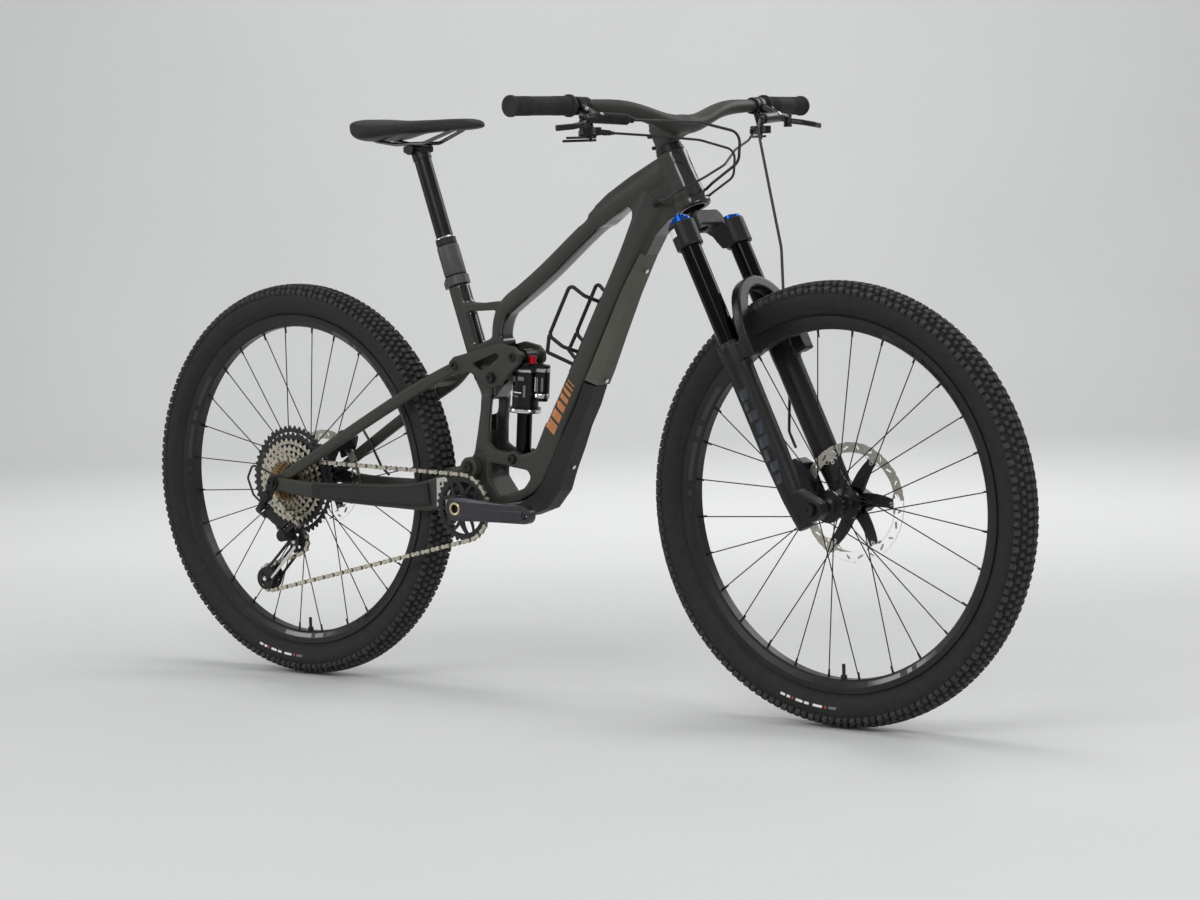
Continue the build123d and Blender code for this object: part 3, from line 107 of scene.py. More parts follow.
# ---- materials
def material(name, colour, rough, vary, scale, metal=0.0, grain=None, rough_vary=0.08, coat=0.0, spec=0.5,
             streak=(1, 1, 1)):
    """Principled material with mottled colour, uneven roughness and fine grain, as (strength, scale)."""
    m = bpy.data.materials.new(name)
    m.use_nodes = True
    nodes, links = m.node_tree.nodes, m.node_tree.links
    shader = nodes["Principled BSDF"]
    shader.inputs["Metallic"].default_value = metal
    shader.inputs["Specular IOR Level"].default_value = spec
    shader.inputs["Coat Weight"].default_value = coat
    shader.inputs["Coat Roughness"].default_value = 0.08
    place = nodes.new("ShaderNodeTexCoord")
    mapping = nodes.new("ShaderNodeMapping")
    mapping.inputs["Scale"].default_value = streak
    links.new(place.outputs["Object"], mapping.inputs["Vector"])

    def noise(size, detail):
        node = nodes.new("ShaderNodeTexNoise")
        node.inputs["Scale"].default_value = size
        node.inputs["Detail"].default_value = detail
        links.new(mapping.outputs["Vector"], node.inputs["Vector"])
        return node.outputs["Fac"]

    ramp = nodes.new("ShaderNodeValToRGB")
    dark, light = ramp.color_ramp.elements
    dark.position, light.position = 0.3, 0.7
    dark.color = tuple(c * (1 - vary) for c in colour) + (1,)
    light.color = tuple(min(1, c * (1 + vary)) for c in colour) + (1,)
    links.new(noise(scale, 6), ramp.inputs["Fac"])
    links.new(ramp.outputs["Color"], shader.inputs["Base Color"])
    span = nodes.new("ShaderNodeMapRange")
    span.inputs["To Min"].default_value = max(0.02, rough - rough_vary)
    span.inputs["To Max"].default_value = min(1, rough + rough_vary)
    links.new(noise(scale * 3.1, 4), span.inputs["Value"])
    links.new(span.outputs["Result"], shader.inputs["Roughness"])
    if grain:
        bump = nodes.new("ShaderNodeBump")
        bump.inputs["Strength"].default_value = grain[0]
        bump.inputs["Distance"].default_value = 0.0006
        links.new(noise(grain[1], 3), bump.inputs["Height"])
        links.new(bump.outputs["Normal"], shader.inputs["Normal"])
    return m


# Name, colour, roughness, how far the colour varies and the scale of its mottling
OLIVE = material("olive_paint", (0.036, 0.0375, 0.030), 0.5, 0.06, 9, grain=(0.12, 2200), spec=0.3)
GLOSS = material("dark_gloss", (0.012, 0.0105, 0.01), 0.16, 0.25, 7, rough_vary=0.04, coat=0.6)
GUARD_LIGHT = material("guard_grey", (0.088, 0.088, 0.068), 0.6, 0.1, 25, grain=(0.5, 1500))
GUARD_DARK = material("guard_dark", (0.02, 0.0205, 0.019), 0.55, 0.12, 25, grain=(0.5, 1500), spec=0.3)
BLACK_PLASTIC = material("black_plastic", (0.014, 0.014, 0.014), 0.5, 0.2, 40, grain=(0.4, 1800), spec=0.3)
ANODISED = material("black_anodised", (0.018, 0.018, 0.019), 0.34, 0.2, 60, metal=0.6, grain=(0.15, 2600))
BLACK_GLOSS = material("black_gloss", (0.005, 0.005, 0.0055), 0.3, 0.2, 30, rough_vary=0.05, spec=0.3)
FORK_MATTE = material("fork_matte", (0.0075, 0.0075, 0.008), 0.4, 0.1, 14, grain=(0.18, 2400), spec=0.3)
STANCHION = material("stanchion_black", (0.01, 0.01, 0.011), 0.11, 0.1, 30, metal=0.85, rough_vary=0.03,
                     streak=(1, 1, 9))
STEEL = material("brushed_steel", (0.56, 0.55, 0.52), 0.3, 0.14, 120, metal=1.0, grain=(0.1, 1600))
ROTOR = material("rotor_steel", (0.5, 0.48, 0.42), 0.38, 0.16, 180, metal=0.75, grain=(0.15, 2000))
SILVER = material("bright_silver", (0.72, 0.71, 0.68), 0.22, 0.08, 80, metal=1.0)
CHAIN_DARK = material("chain_dark", (0.13, 0.115, 0.085), 0.4, 0.3, 160, metal=1.0, grain=(0.1, 900))
CHAIN_METAL = material("chain_metal", (0.6, 0.56, 0.46), 0.3, 0.3, 160, metal=1.0, grain=(0.1, 900))
COG_BRONZE = material("cog_bronze", (0.28, 0.19, 0.1), 0.36, 0.25, 120, metal=1.0)
COG_CREAM = material("cog_cream", (0.5, 0.46, 0.38), 0.34, 0.2, 120, metal=1.0)
COG_BLACK = material("cog_black", (0.014, 0.0135, 0.013), 0.4, 0.25, 90, metal=0.25, grain=(0.1, 900))
CRANK = material("crank_grey", (0.055, 0.052, 0.058), 0.34, 0.1, 30, metal=0.75, grain=(0.1, 2400))
RUBBER = material("tyre_rubber", (0.0135, 0.0135, 0.013), 0.62, 0.25, 70, grain=(0.6, 1300), spec=0.3)
# Tread knobs: the same rubber as the casing, painted lighter as a painted highlight on the knob edges
KNOB_PAINTED_HIGHLIGHT = material("knob_rubber_painted_highlight", (0.036, 0.036, 0.0335), 0.7, 0.3, 90, grain=(0.7, 1500), spec=0.3)
GRIP = material("grip_rubber", (0.02, 0.02, 0.0205), 0.7, 0.2, 90, grain=(0.6, 1600), spec=0.3)
RIM = material("rim_carbon", (0.014, 0.014, 0.0145), 0.36, 0.2, 18, grain=(0.08, 2600), spec=0.3)
RIM_MARK = material("rim_mark", (0.006, 0.006, 0.0065), 0.2, 0.1, 20, coat=0.4)
RIM_LIGHT = material("grey_mark", (0.16, 0.16, 0.16), 0.5, 0.1, 20)
SPOKE = material("spoke_black", (0.012, 0.012, 0.012), 0.35, 0.2, 100, metal=0.8)
BLUE = material("blue_anodised", (0.012, 0.085, 0.42), 0.25, 0.1, 80, metal=0.9)
RED = material("red_anodised", (0.5, 0.012, 0.02), 0.28, 0.1, 80, metal=0.8)
GOLD = material("cream_gold", (0.62, 0.52, 0.33), 0.3, 0.1, 80, metal=0.9)
HOSE = material("hose_black", (0.011, 0.011, 0.011), 0.38, 0.2, 60)
SADDLE = material("saddle_cover", (0.013, 0.013, 0.0135), 0.5, 0.15, 60, grain=(0.7, 1100), spec=0.3)
CLAMP = material("clamp_grey", (0.07, 0.07, 0.07), 0.42, 0.12, 60, metal=0.5, grain=(0.12, 900))
RAIL = material("rail_steel", (0.16, 0.155, 0.15), 0.24, 0.2, 120, metal=1.0)
SLEEVE = material("sleeve_grey", (0.042, 0.042, 0.043), 0.5, 0.06, 60, grain=(0.15, 900))
COPPER = material("copper_mark", (0.5, 0.2, 0.075), 0.4, 0.12, 50, metal=0.4)
BLUE_GREY = material("blue_grey_mark", (0.03, 0.037, 0.046), 0.16, 0.1, 40, coat=0.3)
WHITE = material("white_mark", (0.78, 0.78, 0.76), 0.4, 0.05, 60)
RED_MARK = material("red_mark", (0.55, 0.04, 0.03), 0.45, 0.1, 60)
FLOOR = material("floor", (0.66, 0.66, 0.655), 0.7, 0.015, 1.2, rough_vary=0.03)


# ---- mesh helpers
def polar(centre, r, a):
    """Point (x, z) at a radius and an angle from a centre."""
    return centre[0] + r * cos(a), centre[1] + r * sin(a)


def at_y(point, y):
    """Point (x, z) in millimetres, taken to 3-D at y and to metres."""
    return Vector((point[0], y, point[1])) * MM


def turns(count, start=0.0):
    """Equal steps round a circle."""
    return [2 * pi * k / count + start for k in range(count)]


def swing(centre, u, v, r, start, end, steps):
    """Arc about a centre in the plane of u and v."""
    return [centre + u * (r * cos(t)) + v * (r * sin(t))
            for t in (start + (end - start) * k / steps for k in range(steps + 1))]


def grid(across, rows, wrap=True, close=False, base=0):
    """Quads between rows of points; wrap joins a row's ends, close joins the last row to the first."""
    faces = []
    for i in range(rows if close else rows - 1):
        a, b = base + i * across, base + (i + 1) % rows * across
        for k in range(across if wrap else across - 1):
            k2 = (k + 1) % across
            faces.append((a + k, a + k2, b + k2, b + k))
    return faces


def piece(name, verts, faces, mats, body, slot, smooth=40.0, bevel=0.0):
    """New mesh object that rides on a body. smooth is the crease angle in degrees."""
    mesh = bpy.data.meshes.new(name)
    mesh.from_pydata([tuple(v) for v in verts], [], faces)
    mesh.update()
    return finish_mesh(name, mesh, mats, body, smooth, bevel)


def finish_mesh(name, mesh, mats, body, smooth=40.0, bevel=0.0):
    """Object from a mesh: consistent normals, creases by angle, materials, bevel and body."""
    bm = bmesh.new()
    bm.from_mesh(mesh)
    bmesh.ops.recalc_face_normals(bm, faces=bm.faces)
    limit = radians(smooth)
    for edge in bm.edges:
        if len(edge.link_faces) == 2 and edge.calc_face_angle(0) > limit:
            edge.smooth = False
    for face in bm.faces:
        face.smooth = True
    bm.to_mesh(mesh)
    bm.free()
    obj = bpy.data.objects.new(name, mesh)
    bpy.context.scene.collection.objects.link(obj)
    for m in mats if isinstance(mats, (list, tuple)) else [mats]:
        mesh.materials.append(m)
    if bevel:
        mod = obj.modifiers.new("bevel", "BEVEL")
        mod.width = bevel
        mod.segments = 2
        mod.limit_method = "ANGLE"
        mod.angle_limit = radians(35)
        mod.harden_normals = True
    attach(obj, body)
    return obj


def lathe(name, profile, centre, axis, mats, body, slot, segs=160):
    """Surface of revolution: profile is a closed loop of (radius, height along axis) in millimetres."""
    axis = Vector(axis).normalized()
    u = axis.orthogonal().normalized()
    w = axis.cross(u)
    verts = [(Vector(centre) + (u * cos(a) + w * sin(a)) * r + axis * h) * MM
             for a in turns(segs) for r, h in profile]
    return piece(name, verts, grid(len(profile), segs, close=True), mats, body, slot, 35.0)


def disc_plate(outlines, y0, y1):
    """Vertices and faces of flat plates in the XZ plane between two y values, in millimetres."""
    verts, faces = [], []
    for outline in outlines:
        base = len(verts)
        n = len(outline)
        verts += [at_y(p, y) for y in (y0, y1) for p in outline]
        faces.append(tuple(base + i for i in range(n)))
        faces.append(tuple(base + n + i for i in reversed(range(n))))
        for i in range(n):
            j = (i + 1) % n
            faces.append((base + i, base + n + i, base + n + j, base + j))
    return verts, faces


def bolt(name, centre, axis, r, high, mat, body, slot):
    """Button-head bolt with a hexagonal socket; centre is the seat of its head, in millimetres."""
    axis = Vector(axis).normalized()
    u = axis.orthogonal().normalized()
    w = axis.cross(u)
    sides, socket = 24, 0.45 * r
    rows = ((r, 0, 0), (r, 0.675 * high, 0), (0.93 * r, 0.93 * high, 0), (0.8 * r, high, 0),
            (1.12 * socket, high, 1), (socket, 0.92 * high, 1), (socket, 0.25 * high, 1))
    verts = []
    for radius, height, hexed in rows:
        for a in turns(sides):
            flat = cos(pi / 6) / cos((a + pi / 6) % (pi / 3) - pi / 6) if hexed else 1
            verts.append((Vector(centre) + (u * cos(a) + w * sin(a)) * radius * flat + axis * height) * MM)
    faces = grid(sides, 7) + [tuple(range(6 * sides, 7 * sides)), tuple(reversed(range(sides)))]
    return piece(name, verts, faces, mat, body, slot, 32)


trees = {}


def tree_of(mesh):
    """Ray-cast tree of a mesh."""
    return BVHTree.FromPolygons([v.co for v in mesh.vertices], [tuple(p.vertices) for p in mesh.polygons])


def tree(node):
    """Ray-cast tree of a CAD node, or of the skin that stands for it."""
    if node not in trees:
        trees[node] = tree_of(NODES[node].data)
    return trees[node]


def decal(name, outline, node, mat, body, lift=0.25, cell=5.0):
    """Thin printed patch on the right side of a node: outline is in (x, z) millimetres, dropped along Y."""
    bm = bmesh.new()
    face = bm.faces.new([bm.verts.new((p[0], p[1], 0)) for p in outline])
    bmesh.ops.triangulate(bm, faces=[face])
    xs, ys = [p[0] for p in outline], [p[1] for p in outline]
    for low, high, axis in ((min(xs), max(xs), 0), (min(ys), max(ys), 1)):
        steps = max(1, int((high - low) / cell))
        for k in range(1, steps):
            across = Y if axis else X
            bmesh.ops.bisect_plane(bm, geom=bm.verts[:] + bm.edges[:] + bm.faces[:],
                                   plane_co=across * (low + (high - low) * k / steps), plane_no=across)
    hits = tree(node)
    lost = []
    for v in bm.verts:
        spot, n, _, _ = hits.ray_cast(at_y(v.co, -160), Y, 0.3)
        if spot is None:
            lost.append(v)
            continue
        v.co = spot + (n if n.y <= 0 else -n) * lift * MM
    bmesh.ops.delete(bm, geom=lost, context="VERTS")
    bmesh.ops.join_triangles(bm, faces=bm.faces, angle_face_threshold=0.2, angle_shape_threshold=0.6)
    mesh = bpy.data.meshes.new(name)
    bm.to_mesh(mesh)
    bm.free()
    obj = finish_mesh(name, mesh, mat, body, 50)
    if sum(p.normal.y for p in obj.data.polygons) > 0:
        obj.data.flip_normals()
    return obj


def paint(node, mats, choose=None):
    """Give a CAD node its materials; choose maps a polygon to an index in mats."""
    obj = NODES[node]
    mats = mats if isinstance(mats, (list, tuple)) else [mats]
    obj.data.materials.clear()
    for m in mats:
        obj.data.materials.append(m)
    for p in obj.data.polygons:
        p.material_index = choose(p.center / MM, p.normal) if choose else 0


# ---- CAD nodes and their finishes
def frame_face(c, n):
    """1 where the frame is glossy: under the top tube, and on the fronts of the head tube and seat mast."""
    under = n.z < -0.55 and c.x > -40 and c.z > 690
    head = c.x > 285 and n.x > 0.45
    mast = n.x > 0.5 and c.x < -30 and c.z > 480
    return 1 if under or head or mast else 0


for finish, nodes_of in (
        (ANODISED, "frame_bearings front_axle rear_axle brake_bodies control_pods brake_lever_right"),
        (ANODISED, "brake_lever_left shift_lever_main shift_lever_release dropper_lever derailleur_mount"),
        (ANODISED, "derailleur_link derailleur_knuckle front_caliper rear_caliper"),
        (OLIVE, "handlebar_stem chainstay seatstay rocker_link"), (GUARD_LIGHT, "guard_upper"),
        (GUARD_DARK, "guard_lower"), (CLAMP, "seat_clamp"), (FORK_MATTE, "fork_crown fork_lowers"),
        (BLACK_PLASTIC, "bottle_cage chainstay_guard guide_pulley tension_pulley"),
        (STANCHION, "fork_stanchions shock_shaft"),
        (BLUE, "compression_dial"), (RED, "rebound_knob"), (GRIP, "grips"), (RUBBER, "front_tyre rear_tyre"),
        (RIM, "front_rim rear_rim"), (BLACK_GLOSS, "front_hub rear_hub shock_body"),
        (SPOKE, "front_spokes rear_spokes"), (HOSE, "rear_lines front_brake_hose control_lines"),
        (SILVER, "derailleur_cage"), (COG_CREAM, "cassette"), (CRANK, "crank_arm_right crank_arm_left"),
        (COG_BLACK, "chainring"), (CHAIN_METAL, "chain"), (RAIL, "saddle_rails"), (SADDLE, "saddle")):
    for node in nodes_of.split():
        paint(node, finish)
paint("main_frame", [OLIVE, GLOSS], frame_face)
paint("dropper_tube", [ANODISED, BLACK_PLASTIC], lambda c, n: 1 if c.z > 815 else 0)
paint("dropper_post", [BLACK_GLOSS, ANODISED], lambda c, n: 1 if c.z > 976 else 0)
paint("steering_hardware", [ANODISED, BLUE], lambda c, n: 1 if c.z < 900 else 0)
paint("frame_hardware", [ANODISED, SILVER], lambda c, n: 1 if c.x > -20 else 0)
for node, x, r in (("front_rotor", 620, 101.5), ("rear_rotor", -620, 90)):
    paint(node, [ROTOR, ANODISED], lambda c, n, x=x, r=r: 0 if hypot(c.x - x, c.z - AXLE_Z) > r - 17.6 else 1)

# ---- tyres
# Outer half section of the tyre, as (radius, y) from the bead to the tread's middle
CASING = [(312, 12.6), (316, 15.6), (320, 18.4), (322, 20.6), (324, 21.0), (328, 25.0), (334, 27.9),
          (345, 29.8), (352.5, 29.4), (358, 26.6), (362.8, 20.5), (366, 12), (367.6, 0)]


def on_casing(y):
    """Radius and outward normal of the tread at a distance y from the tyre's centre line."""
    rows = CASING[::-1]
    a = abs(y)
    for (r1, y1), (r2, y2) in zip(rows, rows[1:]):
        if y1 <= a <= y2:
            f = (a - y1) / (y2 - y1)
            flat = Vector((y2 - y1, r1 - r2)).normalized()
            return r1 + f * (r2 - r1), flat.x, flat.y * (1 if y >= 0 else -1)
    return rows[-5][0], 0.6, 0.8 * (1 if y >= 0 else -1)


def knobs(centre, rows, pitches):
    """Tread blocks: rows are (y, phase, width across, length round, height, lean)."""
    verts, faces = [], []
    for k in range(pitches):
        for y, phase, wide, long_, high, lean in rows:
            a = 2 * pi * (k + phase) / pitches
            r, nr, ny = on_casing(y)
            radial = X * cos(a) + Z * sin(a)
            turn = Z * cos(a) - X * sin(a)
            up = radial * nr + Y * ny
            across = Y * nr - radial * ny
            turn, across = turn + across * lean, across - turn * lean
            foot = Vector(centre) + radial * r + Y * y
            base = len(verts)
            for h, grow in ((-1.0, 1.12), (high * 0.82, 1.0), (high, 0.86)):
                for sx, sy in ((-1, -1), (1, -1), (1, 1), (-1, 1)):
                    verts.append((foot + up * h + turn * (sx * long_ / 2 * grow)
                                  + across * (sy * wide / 2 * grow)) * MM)
            faces += grid(4, 3, base=base)
            faces.append((base + 8, base + 9, base + 10, base + 11))
    return verts, faces


TREAD = []
for s in (-1, 1):
    TREAD += [(6.7 * s, 0.0, 9.4, 8.2, 7.0, 0.1 * s), (6.9 * s, 0.5, 9.6, 9.2, 7.0, -0.04 * s),
              (17.6 * s, 0.24, 7.4, 8.0, 6.8, 0.14 * s), (18.0 * s, 0.74, 6.6, 7.0, 6.8, -0.1 * s),
              (26.6 * s, 0.02, 8.8, 9.2, 6.6, 0.0), (26.9 * s, 0.5, 7.6, 8.0, 6.4, 0.0)]

for side_name, x in WHEELS:
    centre = (x, 0, AXLE_Z)
    body = side_name + "_wheel"
    inner = [(306.8, 11.5), (316.8, 13), (332.8, 24.5), (344.8, 27.2), (352.8, 26), (361.8, 12)]
    profile = [(r, -y) for r, y in CASING] + CASING[-2::-1] + inner + [(r, -y) for r, y in reversed(inner)]
    casing = lathe(side_name + "_casing", profile, centre, Y, RUBBER, body, "tyre", 240)
    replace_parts(casing, side_name + "_tyre")
    # The tread knobs take the lighter knob rubber, a painted highlight over the casing's own colour
    piece(side_name + "_tread", *knobs(centre, TREAD, 81), KNOB_PAINTED_HIGHLIGHT, body, "tyre", 30)


def ring_patch(name, x, profile, a0, a1, s, mat, body, slot, steps=24):
    """Thin patch round a wheel's side: profile is (radius, y) from inside out, angles in degrees."""
    verts = [at_y(polar((x, AXLE_Z), r, radians(a0 + (a1 - a0) * k / steps)), y * s)
             for k in range(steps + 1) for r, y in profile]
    return piece(name, verts, grid(len(profile), steps + 1, wrap=False), mat, body, slot, 50)


RIM_BARS = ((0, 13), (15, 19), (21, 34), (37, 39), (41, 50))
TYRE_BARS = ((251, 252.6, WHITE), (253.2, 254.4, WHITE), (255, 255.5, RED_MARK), (256.4, 258.8, WHITE),
             (259.4, 261, WHITE), (262.4, 265.6, WHITE), (266.4, 267, RED_MARK), (267.8, 270.4, RIM_LIGHT))
SPOKES, NIPPLE_R = 28, 293.5
for side_name, x in WHEELS:
    body = side_name + "_wheel"
    for s, tag in ((-1, "r"), (1, "l")):
        rim_bars = [(start + a0, start + a1) for start in (20, 140, 260) for a0, a1 in RIM_BARS]
        for k, (a0, a1) in enumerate(rim_bars, 1):
            ring_patch(f"{side_name}_rim_mark_{tag}{k}", x, [(297.4, 13.45), (304.6, 17.05)], a0, a1, s,
                       RIM_MARK, body, "rim")
        for k, (a0, a1, mat) in enumerate(TYRE_BARS):
            if s > 0:
                a0, a1 = 540 - a1, 540 - a0
            ring_patch(f"{side_name}_tyre_mark_{tag}{k}", x, [(337.2, 28.95), (341.4, 29.62)], a0, a1, s, mat,
                       body, "tyre", 6)
    verts, faces = [], []
    for k, a in enumerate(turns(SPOKES, pi / SPOKES)):
        foot = Vector((x, 0, AXLE_Z)) + (X * cos(a) + Z * sin(a)) * NIPPLE_R + Y * (-3 if k % 2 else 3)
        inward = X * -cos(a) - Z * sin(a)
        w = inward.cross(Y)
        faces += grid(10, 4, base=len(verts))
        verts += [(foot + inward * h + (Y * cos(t) + w * sin(t)) * r) * MM
                  for h, r in ((-1, 2.2), (3.5, 2.1), (12, 1.8), (12.5, 1.3)) for t in turns(10)]
    piece(side_name + "_nipples", verts, faces, ANODISED, body, "spoke", 60)


# ---- sprockets
def toothed(teeth, pitch_r, r_in, y0, y1, phase=0.0, root=3.7, tip=2.2, centre=(0, 0)):
    """Vertices and faces of a toothed ring in the XZ plane, chamfered at the tooth tips."""
    steps = ((-0.5, -root), (-0.34, -root * 0.82), (-0.24, -0.6), (-0.12, tip * 0.85), (0.0, tip),
             (0.12, tip * 0.85), (0.24, -0.6), (0.34, -root * 0.82))
    verts, faces = [], []
    rim_pts = [(2 * pi * (k + f + phase) / teeth, pitch_r + dr, 0.55 if dr > 0 else 0.0)
               for k in range(teeth) for f, dr in steps]
    n = len(rim_pts)
    for y, inward in ((y0, (y1 - y0) / 2), (y1, (y0 - y1) / 2)):
        verts += [at_y(polar(centre, r, a), y + thin * inward) for a, r, thin in rim_pts]
        verts += [at_y(polar(centre, r_in, a), y) for a, r, thin in rim_pts]
    for i in range(n):
        j = (i + 1) % n
        faces.append((i, j, n + j, n + i))
        faces.append((2 * n + i, 3 * n + i, 3 * n + j, 2 * n + j))
        faces.append((i, 2 * n + i, 2 * n + j, j))
        faces.append((n + i, n + j, 3 * n + j, 3 * n + i))
    return verts, faces


def arms(count, r0, r1, w0, w1, sweep, y0, y1, centre, start=0.0):
    """Swept arms between two radii as thin plates."""
    outlines = []
    for a in turns(count, start):
        left, right = [], []
        for i in range(5):
            f = i / 4
            r = r0 + (r1 - r0) * f
            t = a + sweep * f
            w = (w0 + (w1 - w0) * f) / 2 / max(r, 1)
            left.append(polar(centre, r, t - w))
            right.append(polar(centre, r, t + w))
        outlines.append(left + right[::-1])
    return disc_plate(outlines, y0, y1)


def merge(parts):
    """One list of vertices and one of faces from several."""
    verts, faces = [], []
    for v, f in parts:
        base = len(verts)
        verts += v
        faces += [tuple(base + i for i in face) for face in f]
    return verts, faces


def ring(r_out, r_in, y0, y1, centre, segs=72):
    """Plain ring about the Y direction."""
    section = ((r_out, y0), (r_out, y1), (r_in, y1), (r_in, y0))
    verts = [at_y(polar(centre, r, a), y) for a in turns(segs) for r, y in section]
    return verts, grid(4, segs, close=True)


def pitch_radius(teeth):
    """Pitch radius of a sprocket for half-inch chain."""
    return HALF_PITCH / sin(pi / teeth)


HALF_PITCH = 6.35
COG_STEP = 3.6
COGS = [10, 12, 14, 16, 18, 21, 24, 28, 33, 39, 45, 51]
cogs = []
for k, teeth in enumerate(COGS):
    pitch_r = pitch_radius(teeth)
    y = CHAIN_Y + COG_STEP * (k - 5)
    finish = COG_BRONZE if k < 5 else COG_CREAM if k < 10 else COG_BLACK
    phase = 0.37 * k
    if k < 6:
        data = toothed(teeth, pitch_r, 9, y - 0.9, y + 0.9, phase, centre=COG)
    else:
        below = pitch_radius(COGS[k - 1]) - 6
        count, gap, w0, w1 = (8, 5, 7, 6) if k < 10 else (6, 7, 10, 8)
        band = pitch_r - 3.7 - gap
        data = merge([toothed(teeth, pitch_r, band, y - 0.9, y + 0.9, phase, centre=COG),
                      arms(count, below, band + 0.6, w0, w1, 0.32, y - 0.8, y + 0.8, COG, 0.2 * k),
                      ring(below + 1.5, below - 5, y - 0.8, y + 0.8, COG)])
    cogs.append(piece(f"cog_{teeth}", *data, finish, "freehub", "cassette", 30))
spacers = merge([ring(pitch_radius(t) - 8 if t > 12 else 12, 8.6, CHAIN_Y + COG_STEP * (k - 5),
                      CHAIN_Y + COG_STEP * (k - 4), COG) for k, t in enumerate(COGS[:-1])])
cogs.append(piece("cog_spacers", *spacers, ANODISED, "freehub", "cassette", 30))
lock = lathe("cassette_lockring", [(8.7, -73.4), (15, -73.4), (16.5, -72.6), (16.5, -70.5), (8.7, -70.5)],
             (-620, 0, AXLE_Z), Y, ANODISED, "freehub", "cassette", 64)
for c in cogs + [lock]:
    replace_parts(c, "cassette")

RING_R, PULLEY_R, COG_R = 60.7, 24.5, 42.6
ring_parts = merge([toothed(30, RING_R, 50.5, -53.4, -50.6, 0.2, root=3.5, centre=BB),
                    ring(51.5, 47.5, -52.9, -51.1, BB, 120),
                    arms(6, 20, 49, 15, 7.5, 0.42, -53.6, -51.0, BB, 0.3),
                    arms(6, 20, 49, 9, 5.0, -0.30, -53.2, -51.4, BB, 0.3)])
chainring = piece("chainring_plate", *ring_parts, COG_BLACK, "crank", "black_metal", 30)
hub_ring = lathe("chainring_boss", [(14.6, -57.5), (21, -57.5), (24, -55.5), (24, -50), (14.6, -49.6)],
                 (BB[0], 0, BB[1]), Y, ANODISED, "crank", "black_metal", 96)
for c in (chainring, hub_ring):
    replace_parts(c, "chainring")
for k, a in enumerate(turns(8, 0.2)):
    bolt(f"chainring_bolt_{k}", at_y(polar(BB, 18.6, a), -57.4) / MM, -Y, 2.2, 1.4, STEEL, "crank", "steel")

for label, c, body in (("guide_pulley", GUIDE, "jockey_upper"), ("tension_pulley", TENSION, "jockey_lower")):
    data = merge([toothed(12, PULLEY_R, 15.5, -53.2, -50.8, 0.1, root=3.6, tip=2.4, centre=c),
                  ring(16.5, 14.5, -53.4, -50.6, c), arms(6, 7, 15.4, 5.5, 4, 0.25, -53.0, -51.0, c),
                  ring(8.4, 2.6, -53.9, -50.1, c)])
    wheel = piece(label + "_wheel", *data, BLACK_PLASTIC, body, "black_plastic", 30)
    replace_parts(wheel, label)


# ---- chain
def tangent_line(c1, r1, c2, r2):
    """Straight run between two circles with signed radii."""
    dx, dz = c2[0] - c1[0], c2[1] - c1[1]
    angle = atan2(dz, dx) - acos((r1 - r2) / hypot(dx, dz))
    return polar(c1, r1, angle), polar(c2, r2, angle)


def arc(centre, start, end, ccw, n):
    """Points along an arc, without its last one."""
    a = atan2(start[1] - centre[1], start[0] - centre[0])
    b = atan2(end[1] - centre[1], end[0] - centre[0])
    if ccw and b < a:
        b += 2 * pi
    if not ccw and b > a:
        b -= 2 * pi
    r = hypot(start[0] - centre[0], start[1] - centre[1])
    return [polar(centre, r, a + (b - a) * k / n) for k in range(n)]


top_run = tangent_line(BB, RING_R, COG, COG_R)
drop_run = tangent_line(COG, COG_R, GUIDE, -PULLEY_R)
cross_run = tangent_line(GUIDE, -PULLEY_R, TENSION, PULLEY_R)
low_run = tangent_line(TENSION, PULLEY_R, BB, RING_R)
loop = [top_run[0]] + arc(COG, top_run[1], drop_run[0], True, 60) + [drop_run[0]]
loop += arc(GUIDE, drop_run[1], cross_run[0], False, 40) + [cross_run[0]]
loop += arc(TENSION, cross_run[1], low_run[0], True, 60) + [low_run[0]]
loop += arc(BB, low_run[1], top_run[0], True, 80)
steps = [hypot(b[0] - a[0], b[1] - a[1]) for a, b in zip(loop, loop[1:] + loop[:1])]
total = sum(steps)
links = 2 * round(total / HALF_PITCH / 4)
joints_at = []
travelled, index = 0.0, 0
for k in range(links):
    want = total * k / links
    while travelled + steps[index] < want:
        travelled += steps[index]
        index += 1
    f = (want - travelled) / steps[index]
    a, b = loop[index], loop[(index + 1) % len(loop)]
    joints_at.append(Vector((a[0] + f * (b[0] - a[0]), a[1] + f * (b[1] - a[1]))))

plates, pins, inner_plates = [], [], []
for k in range(links):
    a, b = joints_at[k], joints_at[(k + 1) % links]
    d = (b - a).normalized()
    n = Vector((-d.y, d.x))
    waist = (a + b) / 2
    outline = swing(a, d, n, 4.1, pi / 2, 1.5 * pi, 8) + [waist - n * 2.2]
    outline += swing(b, d, n, 4.1, -pi / 2, pi / 2, 8) + [waist + n * 2.2]
    side, off = (plates, 2.55) if k % 2 else (inner_plates, 1.55)
    for y in (CHAIN_Y - off, CHAIN_Y + off):
        side.append(disc_plate([outline], y - 0.42, y + 0.42))
    pins.append(ring(1.7, 0.05, -55.2, -48.8, a, 12))
    pins.append(ring(3.7, 1.8, -53.1, -50.9, a, 16))
for name, parts, mat, smooth in (("chain_inner_plates", inner_plates, CHAIN_DARK, 30),
                                 ("chain_plates", plates, CHAIN_METAL, 30), ("chain_pins", pins, STEEL, 40)):
    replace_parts(piece(name, *merge(parts), mat, "swingarm", "chain", smooth), "chain")


